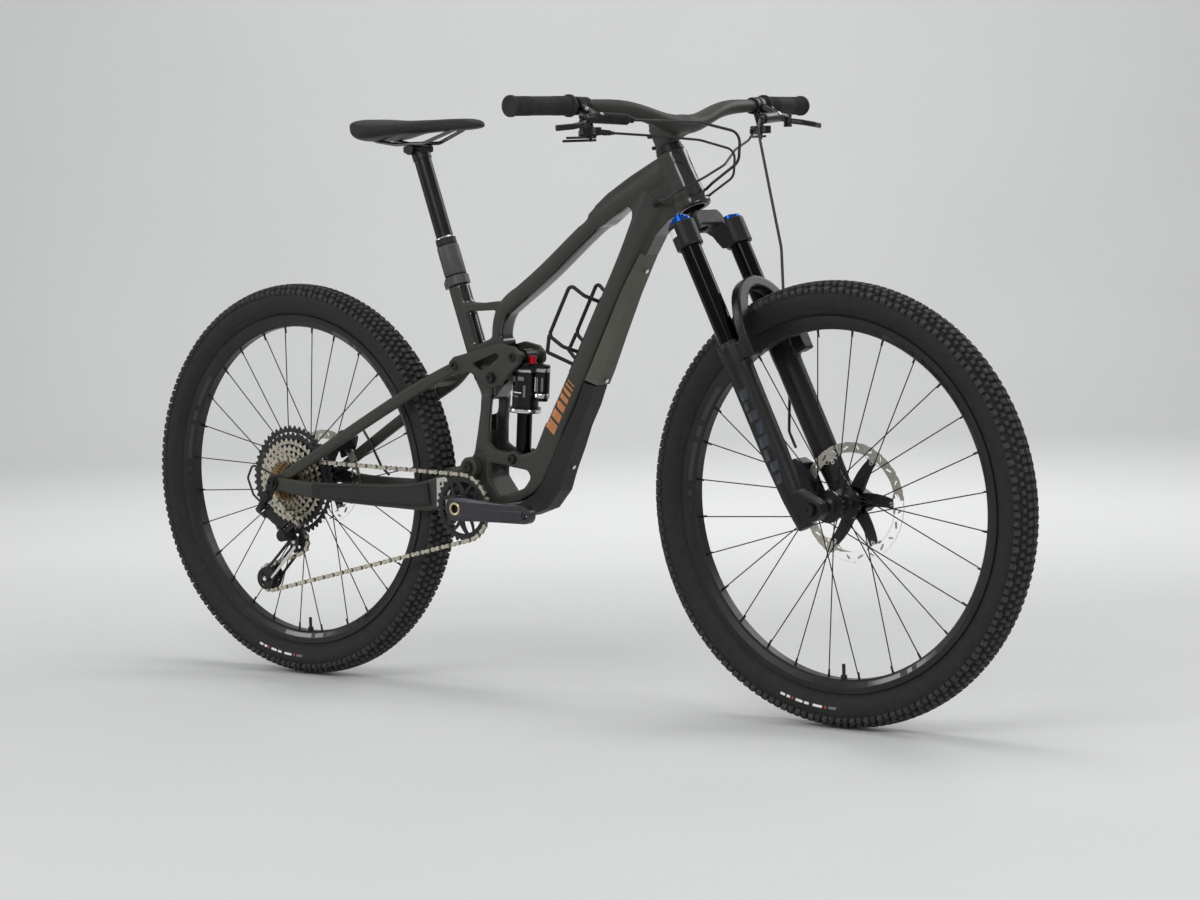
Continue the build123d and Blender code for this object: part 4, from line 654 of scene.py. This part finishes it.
# ---- rounded skins of the moulded parts
def organic(name, node, voxel, rounds, mats, body, choose=None, blend=None):
    """Softly rounded skin of a CAD node: the solid remeshed finely, then relaxed.

    blend is a centre in millimetres, a radius about it and the number of extra passes there."""
    bm = bmesh.new()
    bm.from_mesh(NODES[node].data)
    bmesh.ops.remove_doubles(bm, verts=bm.verts, dist=1e-6)
    bmesh.ops.recalc_face_normals(bm, faces=bm.faces)
    mesh = bpy.data.meshes.new(name)
    bm.to_mesh(mesh)
    bm.free()
    rough = bpy.data.objects.new(name, mesh)
    bpy.context.scene.collection.objects.link(rough)
    mod = rough.modifiers.new("remesh", "REMESH")
    mod.mode = "VOXEL"
    mod.voxel_size = voxel * MM
    mod = rough.modifiers.new("relax", "SMOOTH")
    mod.factor = 0.5
    mod.iterations = rounds
    graph = bpy.context.evaluated_depsgraph_get()
    skin = bpy.data.meshes.new_from_object(rough.evaluated_get(graph))
    bpy.data.objects.remove(rough)
    skin.name = name
    skin.materials.clear()
    if blend:
        centre, near_by, passes = blend
        bm = bmesh.new()
        bm.from_mesh(skin)
        bm.normal_update()
        near = [v for v in bm.verts if (v.co / MM - Vector(centre)).length < near_by and v.normal.z > -0.2]
        for _ in range(passes):
            bmesh.ops.smooth_vert(bm, verts=near, factor=0.5, use_axis_x=True, use_axis_y=False,
                                  use_axis_z=True)
        bm.to_mesh(skin)
        bm.free()
    obj = finish_mesh(name, skin, mats, body, 60)
    for p in obj.data.polygons:
        p.material_index = choose(p.center / MM, p.normal) if choose else 0
    trees[node] = tree_of(skin)
    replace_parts(obj, node)


organic("frame_skin", "main_frame", 2.0, 14, [OLIVE, GLOSS], "frame", frame_face,
        ((112, 0, 867), 32, 70))
organic("lowers_skin", "fork_lowers", 1.8, 8, [FORK_MATTE, BLACK_GLOSS], "fork_lower",
        lambda c, n: 1 if (c - STEER).dot(STEER_UP) > 321 else 0)
for name, node, voxel, rounds, mat, body, slot in (
        ("crown_skin", "fork_crown", 1.6, 9, FORK_MATTE, "steering", "fork_paint"),
        ("chainstay_skin", "chainstay", 1.8, 6, OLIVE, "swingarm", "frame_matte"),
        ("seatstay_skin", "seatstay", 1.6, 6, OLIVE, "stay", "frame_matte"),
        ("bar_skin", "handlebar_stem", 1.8, 6, OLIVE, "steering", "frame_matte"),
        ("rocker_skin", "rocker_link", 1.0, 2, OLIVE, "rocker", "frame_matte"),
        ("brake_body_skin", "brake_bodies", 0.9, 6, ANODISED, "steering", "black_metal"),
        ("pod_skin", "control_pods", 0.9, 6, ANODISED, "steering", "black_metal"),
        ("lever_skin_right", "brake_lever_right", 0.8, 5, ANODISED, "brake_lever_r", "black_metal"),
        ("lever_skin_left", "brake_lever_left", 0.8, 5, ANODISED, "brake_lever_l", "black_metal"),
        ("knuckle_skin", "derailleur_knuckle", 0.8, 6, ANODISED, "mech_knuckle", "black_metal"),
        ("mech_mount_skin", "derailleur_mount", 0.8, 6, ANODISED, "swingarm", "black_metal"),
        ("front_caliper_skin", "front_caliper", 0.9, 5, ANODISED, "fork_lower", "black_metal"),
        ("rear_caliper_skin", "rear_caliper", 0.9, 5, ANODISED, "stay", "black_metal")):
    organic(name, node, voxel, rounds, mat, body)


def plate2d(name, loops, y0, y1, mat, body, bevel=0.0, shear=None):
    """Flat plate in the XZ plane from an outline and its holes, in millimetres.

    shear is (x0, x1, set0, set1): the plate moves sideways from set0 at x0 to set1 at x1."""
    curve = bpy.data.curves.new(name, "CURVE")
    curve.dimensions = "2D"
    curve.fill_mode = "BOTH"
    curve.extrude = (y1 - y0) / 2 * MM
    for loop_pts in loops:
        spline = curve.splines.new("POLY")
        spline.points.add(len(loop_pts) - 1)
        for point, p in zip(spline.points, loop_pts):
            point.co = (p[0] * MM, p[1] * MM, 0, 1)
        spline.use_cyclic_u = True
    flat = bpy.data.objects.new(name, curve)
    bpy.context.scene.collection.objects.link(flat)
    graph = bpy.context.evaluated_depsgraph_get()
    mesh = bpy.data.meshes.new_from_object(flat.evaluated_get(graph))
    bpy.data.objects.remove(flat)
    bm = bmesh.new()
    bm.from_mesh(mesh)
    bmesh.ops.remove_doubles(bm, verts=bm.verts, dist=1e-6)
    for v in bm.verts:
        x, z, h = v.co
        v.co = Vector((x, (y0 + y1) / 2 * MM - h, z))
        if shear:
            f = min(1, max(0, (x / MM - shear[0]) / (shear[1] - shear[0])))
            v.co.y += (shear[2] + (shear[3] - shear[2]) * f) * MM
    bm.to_mesh(mesh)
    bm.free()
    mesh.materials.clear()
    return finish_mesh(name, mesh, mat, body, 30, bevel * MM)


def circle(c, r, n=24):
    """Outline of a round hole."""
    return [polar(c, r, a) for a in turns(n)]


def slot_hole(c, length, width, angle):
    """Outline of a round-ended slot."""
    u, v = Vector((cos(angle), sin(angle))), Vector((-sin(angle), cos(angle)))
    half = u * (length - width) / 2
    ends = swing(Vector(c) + half, u, v, width / 2, -pi / 2, pi / 2, 6)
    return ends + swing(Vector(c) - half, u, v, width / 2, pi / 2, 1.5 * pi, 6)


for label, x, r, y, body in (("front_rotor", 620, 101.5, 40.0, "front_wheel"),
                             ("rear_rotor", -620, 90.0, 59.0, "rear_wheel")):
    c = (x, AXLE_Z)
    loops = [[polar(c, r - 0.9 * max(0, cos(36 * t)), t) for t in turns(288)],
             [polar(c, r - 17.5 - 12 * max(0, cos(6 * t)) ** 3, t) for t in turns(180)]]
    for k, t in enumerate(turns(24, pi / 24)):
        depth, length, lean = (8.0, 8.5, 0.7) if k % 2 else (9.6, 12, 2.0)
        loops.append(slot_hole(polar(c, r - depth, t), length, 3.2, t + lean))
    for t in turns(6, -0.15) + turns(6, 0.15):
        loops.append(slot_hole(polar(c, r - 18.5, t), 8.5, 3.6, t + pi / 2))
    band = plate2d(label + "_band", loops, y - 0.95, y + 0.95, ROTOR, body)
    data = merge([ring(27, 17.3, y - 1.1, y + 1.3, c),
                  arms(6, 22, r - 21, 27, 17, -0.2, y - 1.1, y + 1.3, c, 0.2)])
    spider = piece(label + "_spider", *data, COG_BLACK, body, "black_metal", 30)
    for k, t in enumerate(turns(6)):
        for d, tag in ((-1, "a"), (1, "b")):
            seat = at_y(polar(c, r - 24.5, t), y + d) / MM
            bolt(f"{label}_rivet_{k}_{tag}", seat, Y * d, 3.8, 0.35, SILVER, body, "steel")
    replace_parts(band, label)
    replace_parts(spider, label)

# ---- cranks
# Half widths of a crank arm, as (distance from the spindle, half width)
ARM_WIDTHS = ((26, 21), (60, 19), (110, 17), (158, 15.6))
for side_name, s, eye, low, high, tip_set in (("right", -1, (2.95, 338.99), -74.6, -59.6, -13.2),
                                              ("left", 1, (-346.95, 347.01), 52.6, 67.6, 20.0)):
    hub = Vector(BB)
    d = (Vector(eye) - hub).normalized()
    n = Vector((-d.y, d.x))
    outline = swing(hub, d, n, 22.5, pi / 2, 1.5 * pi, 16) + [hub + d * f - n * w for f, w in ARM_WIDTHS]
    outline += swing(Vector(eye), d, n, 15.2, -pi / 2, pi / 2, 16)
    outline += [hub + d * f + n * w for f, w in reversed(ARM_WIDTHS)]
    shear = (BB[0] - 20 * s, eye[0] + 8 * s, 0, tip_set)
    arm = plate2d(f"crank_{side_name}", [outline, circle(eye, 7.2, 32), circle(BB, 12.0, 40)],
                  low, high, CRANK, "crank", 2.6, shear)
    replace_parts(arm, "crank_arm_" + side_name)
    face = (BB[0], low if s < 0 else high, BB[1])
    cap = [(8.2, -2.5), (8.2, 0.9), (9.4, 1.5), (11.4, 1.5), (12.3, 0.8), (12.3, -2.5)]
    lathe(f"crank_cap_{side_name}", cap, face, Y * s, GOLD, "crank", "crank", 64)
    lathe(f"crank_bore_{side_name}", [(0.01, -8), (8.3, -8), (8.3, -2), (7.6, -2), (7.6, -7), (0.01, -7)],
          face, Y * s, BLACK_PLASTIC, "crank", "crank", 48)
spindle = lathe("crank_spindle", [(8.6, -62), (14.4, -62), (14.4, 56), (8.6, 56)], (BB[0], 0, BB[1]), Y,
                ANODISED, "crank", "crank", 64)
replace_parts(spindle, "crank_arm_left")

wavy = [(-236, 394), (-214, 397), (-207, 390), (-210, 378), (-204, 372), (-209, 362), (-203, 354),
        (-208, 344), (-203, 336), (-209, 331), (-232, 333), (-238, 340)]
plate2d("chainstay_plate", [wavy, circle((-226, 384), 3.2)], -49.2, -47.9, SILVER, "swingarm", 0.3)

# ---- derailleur cage
cage_top, cage_low = Vector(GUIDE), Vector(TENSION)
along = (cage_low - cage_top).normalized()
side = Vector((-along.y, along.x))
for tag, y0, y1 in (("outer", -65.4, -63.5), ("inner", -41.5, -39.6)):
    foot = swing(cage_low, along, side, 21, -1.9, 1.9, 20)
    foot += [cage_low - along * 26 + side * 12, cage_low - along * 26 - side * 12]
    holes = [circle(cage_low + along * (11 * cos(a)) + side * (11 * sin(a)), 4.2) for a in (0.2, 2.3, -1.9)]
    plates = [plate2d(f"cage_foot_{tag}", [foot] + holes, y0, y1, BLACK_PLASTIC, "mech_cage",
                      0.5)]
    for k, off in enumerate((-8.5, 8.5)):
        bar = [cage_top + along * 4 + side * (off - 3), cage_top + along * 4 + side * (off + 3),
               cage_low - along * 14 + side * (off * 1.15 + 2.4),
               cage_low - along * 14 + side * (off * 1.15 - 2.4)]
        finish = SILVER if tag == "outer" and k else BLACK_PLASTIC
        plates.append(plate2d(f"cage_bar_{tag}_{k}", [bar], y0 - 0.3, y1 + 0.3, finish, "mech_cage",
                              0.5))
    head = circle(GUIDE, 13, 40)
    plates.append(plate2d(f"cage_head_{tag}", [head], y0, y1, COG_BLACK, "mech_cage", 0.5))
    for plate in plates:
        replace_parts(plate, "derailleur_cage")
pivot_disc = lathe("cage_pivot_disc", [(5.1, -67.6), (13, -67.6), (13.5, -66.5), (13.5, -63.7), (5.1, -63.7)],
                   (-599, 0, 276), Y, ANODISED, "mech_cage", "black_metal", 64)
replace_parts(pivot_disc, "derailleur_cage")
for k, c in enumerate((GUIDE, TENSION)):
    lathe(f"cage_axle_{k}", [(0.01, -63.5), (2.5, -63.5), (2.5, -41.4), (0.01, -41.4)], (c[0], 0, c[1]), Y,
          STEEL, "mech_cage", "steel", 24)
    bolt(f"cage_bolt_{k}", (c[0], -65.4, c[1]), -Y, 4.4, 1.8, SILVER, "mech_cage", "steel")

# ---- bolts
for k, (x, y, z, r, high, body) in enumerate((
        (-190, -41.4, 601, 8.6, 3.0, "rocker"), (-190, 41.4, 601, 8.6, 3.0, "rocker"),
        (-51, -41.4, 618, 8.2, 3.0, "rocker"), (-51, 41.4, 618, 8.2, 3.0, "rocker"),
        (620, -90, AXLE_Z, 9.0, 2.2, "fork_lower"), (-620, -92.6, AXLE_Z, 8.0, 2.2, "swingarm"))):
    bolt(f"pivot_bolt_{k}", (x, y, z), Y if y > 0 else -Y, r, high, ANODISED, body, "black_metal")
for name, x, z in (("rocker_mid", -105, 579), ("main_pivot", -160, 416), ("shock_low", -68, 433)):
    for s, tag in ((-1, "r"), (1, "l")):
        hit, _, _, _ = tree("frame_hardware").ray_cast(Vector((x + 1.5, 120 * s, z)) * MM, Y * -s, 0.2)
        if hit:
            bolt(f"{name}_bolt_{tag}", (x, hit.y / MM, z), Y * s, 8.4, 2.2, ANODISED, "frame", "black_metal")

# ---- shock details
def can_patch(name, x_off, r, a0, a1, h0, h1, mat):
    """Printed patch on one of the shock's cans: angles in degrees round it, heights along it."""
    round_it = swing(SHOCK + SHOCK_X * x_off, SHOCK_X, Y, r, radians(a0), radians(a1), 10)
    verts = [(p + SHOCK_UP * h) * MM for p in round_it for h in (h0, h1)]
    piece(name, verts, grid(2, 11, wrap=False), mat, "shock_outer", "stanchion", 60)


def can_ring(name, x_off, profile, mat):
    """Ring round one of the shock's cans: profile is (radius, height along it)."""
    lathe(name, profile, SHOCK + SHOCK_X * x_off, SHOCK_UP, mat, "shock_outer", "stanchion", 72)


can_ring("shock_flange", 0, [(24.1, 84), (28.9, 84.5), (29.2, 86), (29.2, 88), (28.6, 90), (24.1, 91)],
         SILVER)
can_ring("shock_band", 0, [(24.0, 157), (24.6, 157.5), (24.6, 161.5), (24.0, 162)], STEEL)
can_ring("shock_reservoir_cap", 38, [(13.4, 113), (14.1, 113.5), (14.1, 120), (13.4, 121)], SILVER)
can_ring("shock_reservoir_band", 38, [(13.4, 160), (14.0, 160.5), (14.0, 166), (13.4, 166.5)], STEEL)
for k, (a0, a1, h0, h1, mat) in enumerate(((-150, -104, 139, 149, RIM_LIGHT), (-88, -60, 142, 149, RIM_LIGHT),
                                          (-132, -124, 112, 132, WHITE), (-115, -70, 119, 121, WHITE),
                                          (-115, -84, 112, 114, RIM_LIGHT), (-62, -52, 112, 134, RIM_LIGHT))):
    can_patch(f"shock_mark_{k}", 0, 24.15, a0, a1, h0, h1, mat)
for k, (a0, a1, h0, h1, mat) in enumerate(((-130, -112, 124, 150, WHITE), (-100, -88, 124, 150, RIM_LIGHT),
                                          (-60, -44, 126, 150, RIM_LIGHT))):
    can_patch(f"reservoir_mark_{k}", 38, 13.65, a0, a1, h0, h1, mat)

# ---- hose ends and bar controls
def tube(name, points, r, sides=20):
    """End of a hose on the frame: a round tube of radius r through the points, along a smooth curve."""
    pts = [Vector(p) for p in points]
    fine = []
    for k in range(len(pts) - 1):
        p0, p1, p2, p3 = pts[max(0, k - 1)], pts[k], pts[k + 1], pts[min(len(pts) - 1, k + 2)]
        for t in (0, 0.2, 0.4, 0.6, 0.8):
            fine.append(0.5 * (2 * p1 + (p2 - p0) * t + (2 * p0 - 5 * p1 + 4 * p2 - p3) * t * t
                               + (3 * p1 - p0 - 3 * p2 + p3) * t ** 3))
    fine.append(pts[-1])
    verts = []
    for k, p in enumerate(fine):
        d = (fine[min(len(fine) - 1, k + 1)] - fine[max(0, k - 1)]).normalized()
        a = d.cross(Vector((0.3, 0.1, 1))).normalized()
        b = d.cross(a)
        verts += [(p + a * (r * cos(t)) + b * (r * sin(t))) * MM for t in turns(sides)]
    ends = [tuple(reversed(range(sides))), tuple(range(len(verts) - sides, len(verts)))]
    piece(name, verts, grid(sides, len(fine)) + ends, HOSE, "frame", "hose", 50)


def ferrule(name, p, q, profile, mat, body):
    """Turned end on a hose: profile is (radius, distance from p towards q)."""
    lathe(name, profile, p, Vector(q) - Vector(p), mat, body, "black_metal", 32)


tube("hose_tail_brake", [(352, 30, 915), (338, 28.5, 904), (318, 29.5, 893), (302, 27.5, 885),
                         (290, 20, 879)], 2.5)
tube("hose_tail_shift", [(352, 26, 897), (340, 27, 889), (326, 29, 880), (312, 27.5, 873),
                         (300, 20, 868)], 2.1)
tube("hose_tail_dropper", [(289, -37.2, 888), (280, -34, 885), (270, -27, 882), (262, -18, 879)], 2.1)
for name, p, q, bore, lip, neck, rim, front, back in (
        ("port_brake", (304, 28, 886), (288, 19, 878), 2.6, 4.0, 4.6, 4.8, 14, 14),
        ("port_shift", (314, 28, 874), (298, 19, 867), 2.2, 3.6, 4.2, 4.4, 14, 14),
        ("port_dropper", (284, -36, 886.5), (264, -22, 880), 2.2, 4.0, 5.0, 5.6, 16, 18)):
    profile = [(bore, 0), (lip, 0.6), (neck, 3), (rim, front), (bore, back)]
    ferrule(name, p, q, profile, BLACK_PLASTIC, "frame")
for tag, s, r in (("right", -1, 16.5), ("left", 1, 11)):
    pod = (298, 236 * s, 0)
    can = [(0.01, 998.6), (r - 2.5, 998.6), (r - 0.6, 999.6), (r, 1001.6), (r, 1006.6), (r - 1, 1008.6),
           (r - 3, 1009.6), (0.01, 1009.8)]
    rim = [(r - 0.2, 1003.4), (r + 0.35, 1003.7), (r + 0.35, 1004.9), (r - 0.2, 1005.2)]
    lathe(f"pod_body_{tag}", can, pod, Z, ANODISED, "steering", "black_metal", 64)
    lathe(f"pod_rim_{tag}", rim, pod, Z, SILVER, "steering", "steel", 64)
    bolt(f"pod_bolt_{tag}", (298, 236 * s, 1009.6), Z, 4.6, 2.0, STEEL, "steering", "steel")
    barrel = [(2.4, 0), (4.2, 0.4), (4.6, 2), (4.4, 5), (4.7, 7), (4.3, 10), (3.4, 12), (3.0, 17),
              (2.4, 17.4)]
    ferrule(f"barrel_{tag}", (315, 212 * s, 1004.6), (322, 186 * s, 1002.6), barrel, ANODISED, "steering")
    for n, x, y in (("a", 318, 262), ("b", 340, 250), ("c", 330, 222)):
        hit, normal, _, _ = tree("brake_bodies").ray_cast(Vector((x, y * s, 1100)) * MM, -Z, 0.2)
        if hit and normal.z > 0.5:
            bolt(f"lever_body_bolt_{tag}_{n}", hit / MM, normal, 3.4, 1.4, STEEL, "steering", "steel")

# ---- printed marks
MARK_FOOT, MARK_RUN = Vector((22, 484)), Vector((88, 152)).normalized()
MARK_ACROSS = Vector((-MARK_RUN.y, MARK_RUN.x))
for k, (a, b) in enumerate(((0, 19), (24, 40), (45, 58), (63, 73), (78, 85), (90, 94), (99, 101.5))):
    corners = ((a, -11), (b, -11), (b + 5, 13), (a + 5, 13))
    outline = [MARK_FOOT + MARK_RUN * p + MARK_ACROSS * q for p, q in corners]
    decal(f"tube_mark_{k}", outline, "main_frame", COPPER, "frame")

LEG_FOOT, LEG_UP, LEG_ACROSS = STEER.xz, STEER_UP.xz, Vector((STEER_UP.z, -STEER_UP.x))
for k, (a, b, low, high) in enumerate(((214, 232, -10, 8), (196, 210, -10, 2), (176, 192, -10, 10),
                                       (150, 170, -4, 10), (128, 146, -10, 10), (104, 124, -10, 2),
                                       (84, 100, -8, 10), (62, 78, -8, 6))):
    base = LEG_FOOT + LEG_ACROSS * 14
    corners = ((a, low), (b, low + 3), (b, high), (a, high - 3))
    outline = [base + LEG_UP * p + LEG_ACROSS * q for p, q in corners]
    decal(f"leg_mark_{k}", outline, "fork_lowers", BLUE_GREY, "fork_lower", 0.3)
base = LEG_FOOT + LEG_ACROSS * 4
outline = [base + LEG_UP * p + LEG_ACROSS * q for p, q in ((518, -8), (518, 8), (532, 8), (532, -8))]
decal("crown_sticker", outline, "fork_crown", WHITE, "steering", 0.3)
inset = [(-264, 383), (-300, 375), (-400, 371.5), (-496, 371), (-500, 355), (-400, 348), (-300, 345.5),
         (-262, 349)]
decal("chainstay_inset", inset, "chainstay_guard", GUARD_DARK, "swingarm", 0.4)
lathe("dropper_sleeve", [(17.6, 8), (20.2, 8), (20.4, 9), (20.4, 62), (19.6, 64), (17.6, 64)], SEAT,
      SEAT_UP, SLEEVE, "frame", "black_metal", 72)
lathe("dropper_wiper", [(16.1, 78), (17.6, 80.5), (18.8, 79), (19.1, 77.8), (16.1, 77.8)], SEAT,
      SEAT_UP, SILVER, "frame", "steel", 72)

# ---- grips
def grip_radius(h, t):
    """Radius of a grip at a distance h along it and an angle t round it: collars, ribs and a waffle."""
    if h < 7:
        return 18.9 - 0.5 * (h > 6.2) - 0.7 * (h < 0.8)
    if h > length - 7:
        return 17.9 - 0.7 * (h > length - 0.8)
    if not 8 < h < length - 8:
        return 15.0
    if 42 < h < 96:
        return 15.3 + (max(0, sin(18 * t)) * max(0, sin(2 * pi * h / 5.2))) ** 0.5
    return 15.3 + 0.9 * max(0, sin(2 * pi * h / 2.6)) ** 0.5


for s, name in ((-1, "grip_right"), (1, "grip_left")):
    start, end = Vector((289.94, 270 * s, 1050)), Vector((276.10465, 410 * s, 1050))
    along = (end - start).normalized()
    length = (end - start).length
    w = along.cross(Z).normalized()
    rows, sides = 200, 96
    stations = [(length * i / rows, 0) for i in range(rows + 1)]
    stations += [(length, 15.5), (length - 1.2, 11.6), (0, 11.3)]
    verts = [(start + along * h + (Z * cos(t) + w * sin(t)) * (r or grip_radius(h, t))) * MM
             for h, r in stations for t in turns(sides)]
    low = (rows + 3) * sides
    faces = grid(sides, rows + 3) + [tuple(range(low - sides, low))]
    for k in range(sides):
        k2 = (k + 1) % sides
        faces.append((k, low + k, low + k2, k2))
    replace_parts(piece(name, verts, faces, GRIP, "steering", "grip_rubber", 45), "grips")

# ---- saddle
# Sections of the saddle from tail to nose: x, half width, top, bottom, fall of the top towards the edge
SPINE = [(-421.5, 40, 1049.5, 1041, 2), (-416, 54, 1052, 1028, 4), (-405, 65, 1053, 1016, 8),
         (-390, 70.5, 1052.6, 1009.8, 12), (-366, 70, 1050.8, 1011, 13), (-340, 61.5, 1048.6, 1015.5, 11),
         (-312, 48, 1047.4, 1020, 9), (-284, 36, 1047, 1022.5, 7), (-252, 28, 1047, 1023.6, 6),
         (-218, 23.5, 1047.2, 1024, 6), (-186, 20.5, 1046.6, 1024.4, 6), (-160, 18, 1045, 1025.4, 6),
         (-146, 14.5, 1042, 1027, 5), (-139, 9.5, 1037.5, 1029.5, 3)]
verts = []
sides = 44
for x, half, top, low, crown in SPINE:
    mid = top - crown - (top - crown - low) * 0.35
    for t in turns(sides):
        c, s = cos(t), sin(t)
        y = half * (1 if c >= 0 else -1) * abs(c) ** 0.72
        if s >= 0:
            z = mid + (top - mid) * s ** 0.8
            if -400 < x < -200 and s > 0.5:
                z -= 2.6 * exp(-(y / 7.5) ** 2)
        else:
            z = mid + (mid - low) * -abs(s) ** 0.55
        verts.append(Vector((x, y, z)) * MM)
faces = grid(sides, len(SPINE))
for first, bulge in ((0, -0.0015), ((len(SPINE) - 1) * sides, 0.0012)):
    centre = sum(verts[first:first + sides], Vector()) / sides
    centre.x += bulge
    faces += [(first + k, first + (k + 1) % sides, len(verts)) for k in range(sides)]
    verts.append(centre)
saddle = piece("saddle_cover", verts, faces, SADDLE, "seat", "saddle", 80)
mod = saddle.modifiers.new("smooth", "SUBSURF")
mod.levels = mod.render_levels = 2
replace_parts(saddle, "saddle")

# ---- floor
REACH, CURVE, HALF_WIDE = 5.2, 2.5, 30
profile = [(-30.0, 0.0)] + [(REACH + CURVE * sin(a), CURVE - CURVE * cos(a)) for a in
                            (radians(step) for step in range(0, 91, 6))] + [(REACH + CURVE, 14.0)]
away = Y * cos(AZIMUTH) - X * sin(AZIMUTH)
across = X * cos(AZIMUTH) + Y * sin(AZIMUTH)
verts = [away * f + across * g + Z * (z - 0.0005) for f, z in profile for g in (-HALF_WIDE, HALF_WIDE)]
mesh = bpy.data.meshes.new("floor")
mesh.from_pydata([tuple(v) for v in verts], [], grid(2, len(profile), wrap=False))
for p in mesh.polygons:
    p.use_smooth = True
# The floor is clear from behind, so that the wall hides nothing
floor_nodes = FLOOR.node_tree
out = next(n for n in floor_nodes.nodes if n.type == "OUTPUT_MATERIAL")
solid = next(n for n in floor_nodes.nodes if n.type == "BSDF_PRINCIPLED")
clear = floor_nodes.nodes.new("ShaderNodeBsdfTransparent")
choice = floor_nodes.nodes.new("ShaderNodeMixShader")
side_of = floor_nodes.nodes.new("ShaderNodeNewGeometry")
floor_nodes.links.new(side_of.outputs["Backfacing"], choice.inputs[0])
floor_nodes.links.new(solid.outputs[0], choice.inputs[1])
floor_nodes.links.new(clear.outputs[0], choice.inputs[2])
floor_nodes.links.new(choice.outputs[0], out.inputs["Surface"])
mesh.materials.append(FLOOR)
floor = bpy.data.objects.new("floor", mesh)
bpy.context.scene.collection.objects.link(floor)
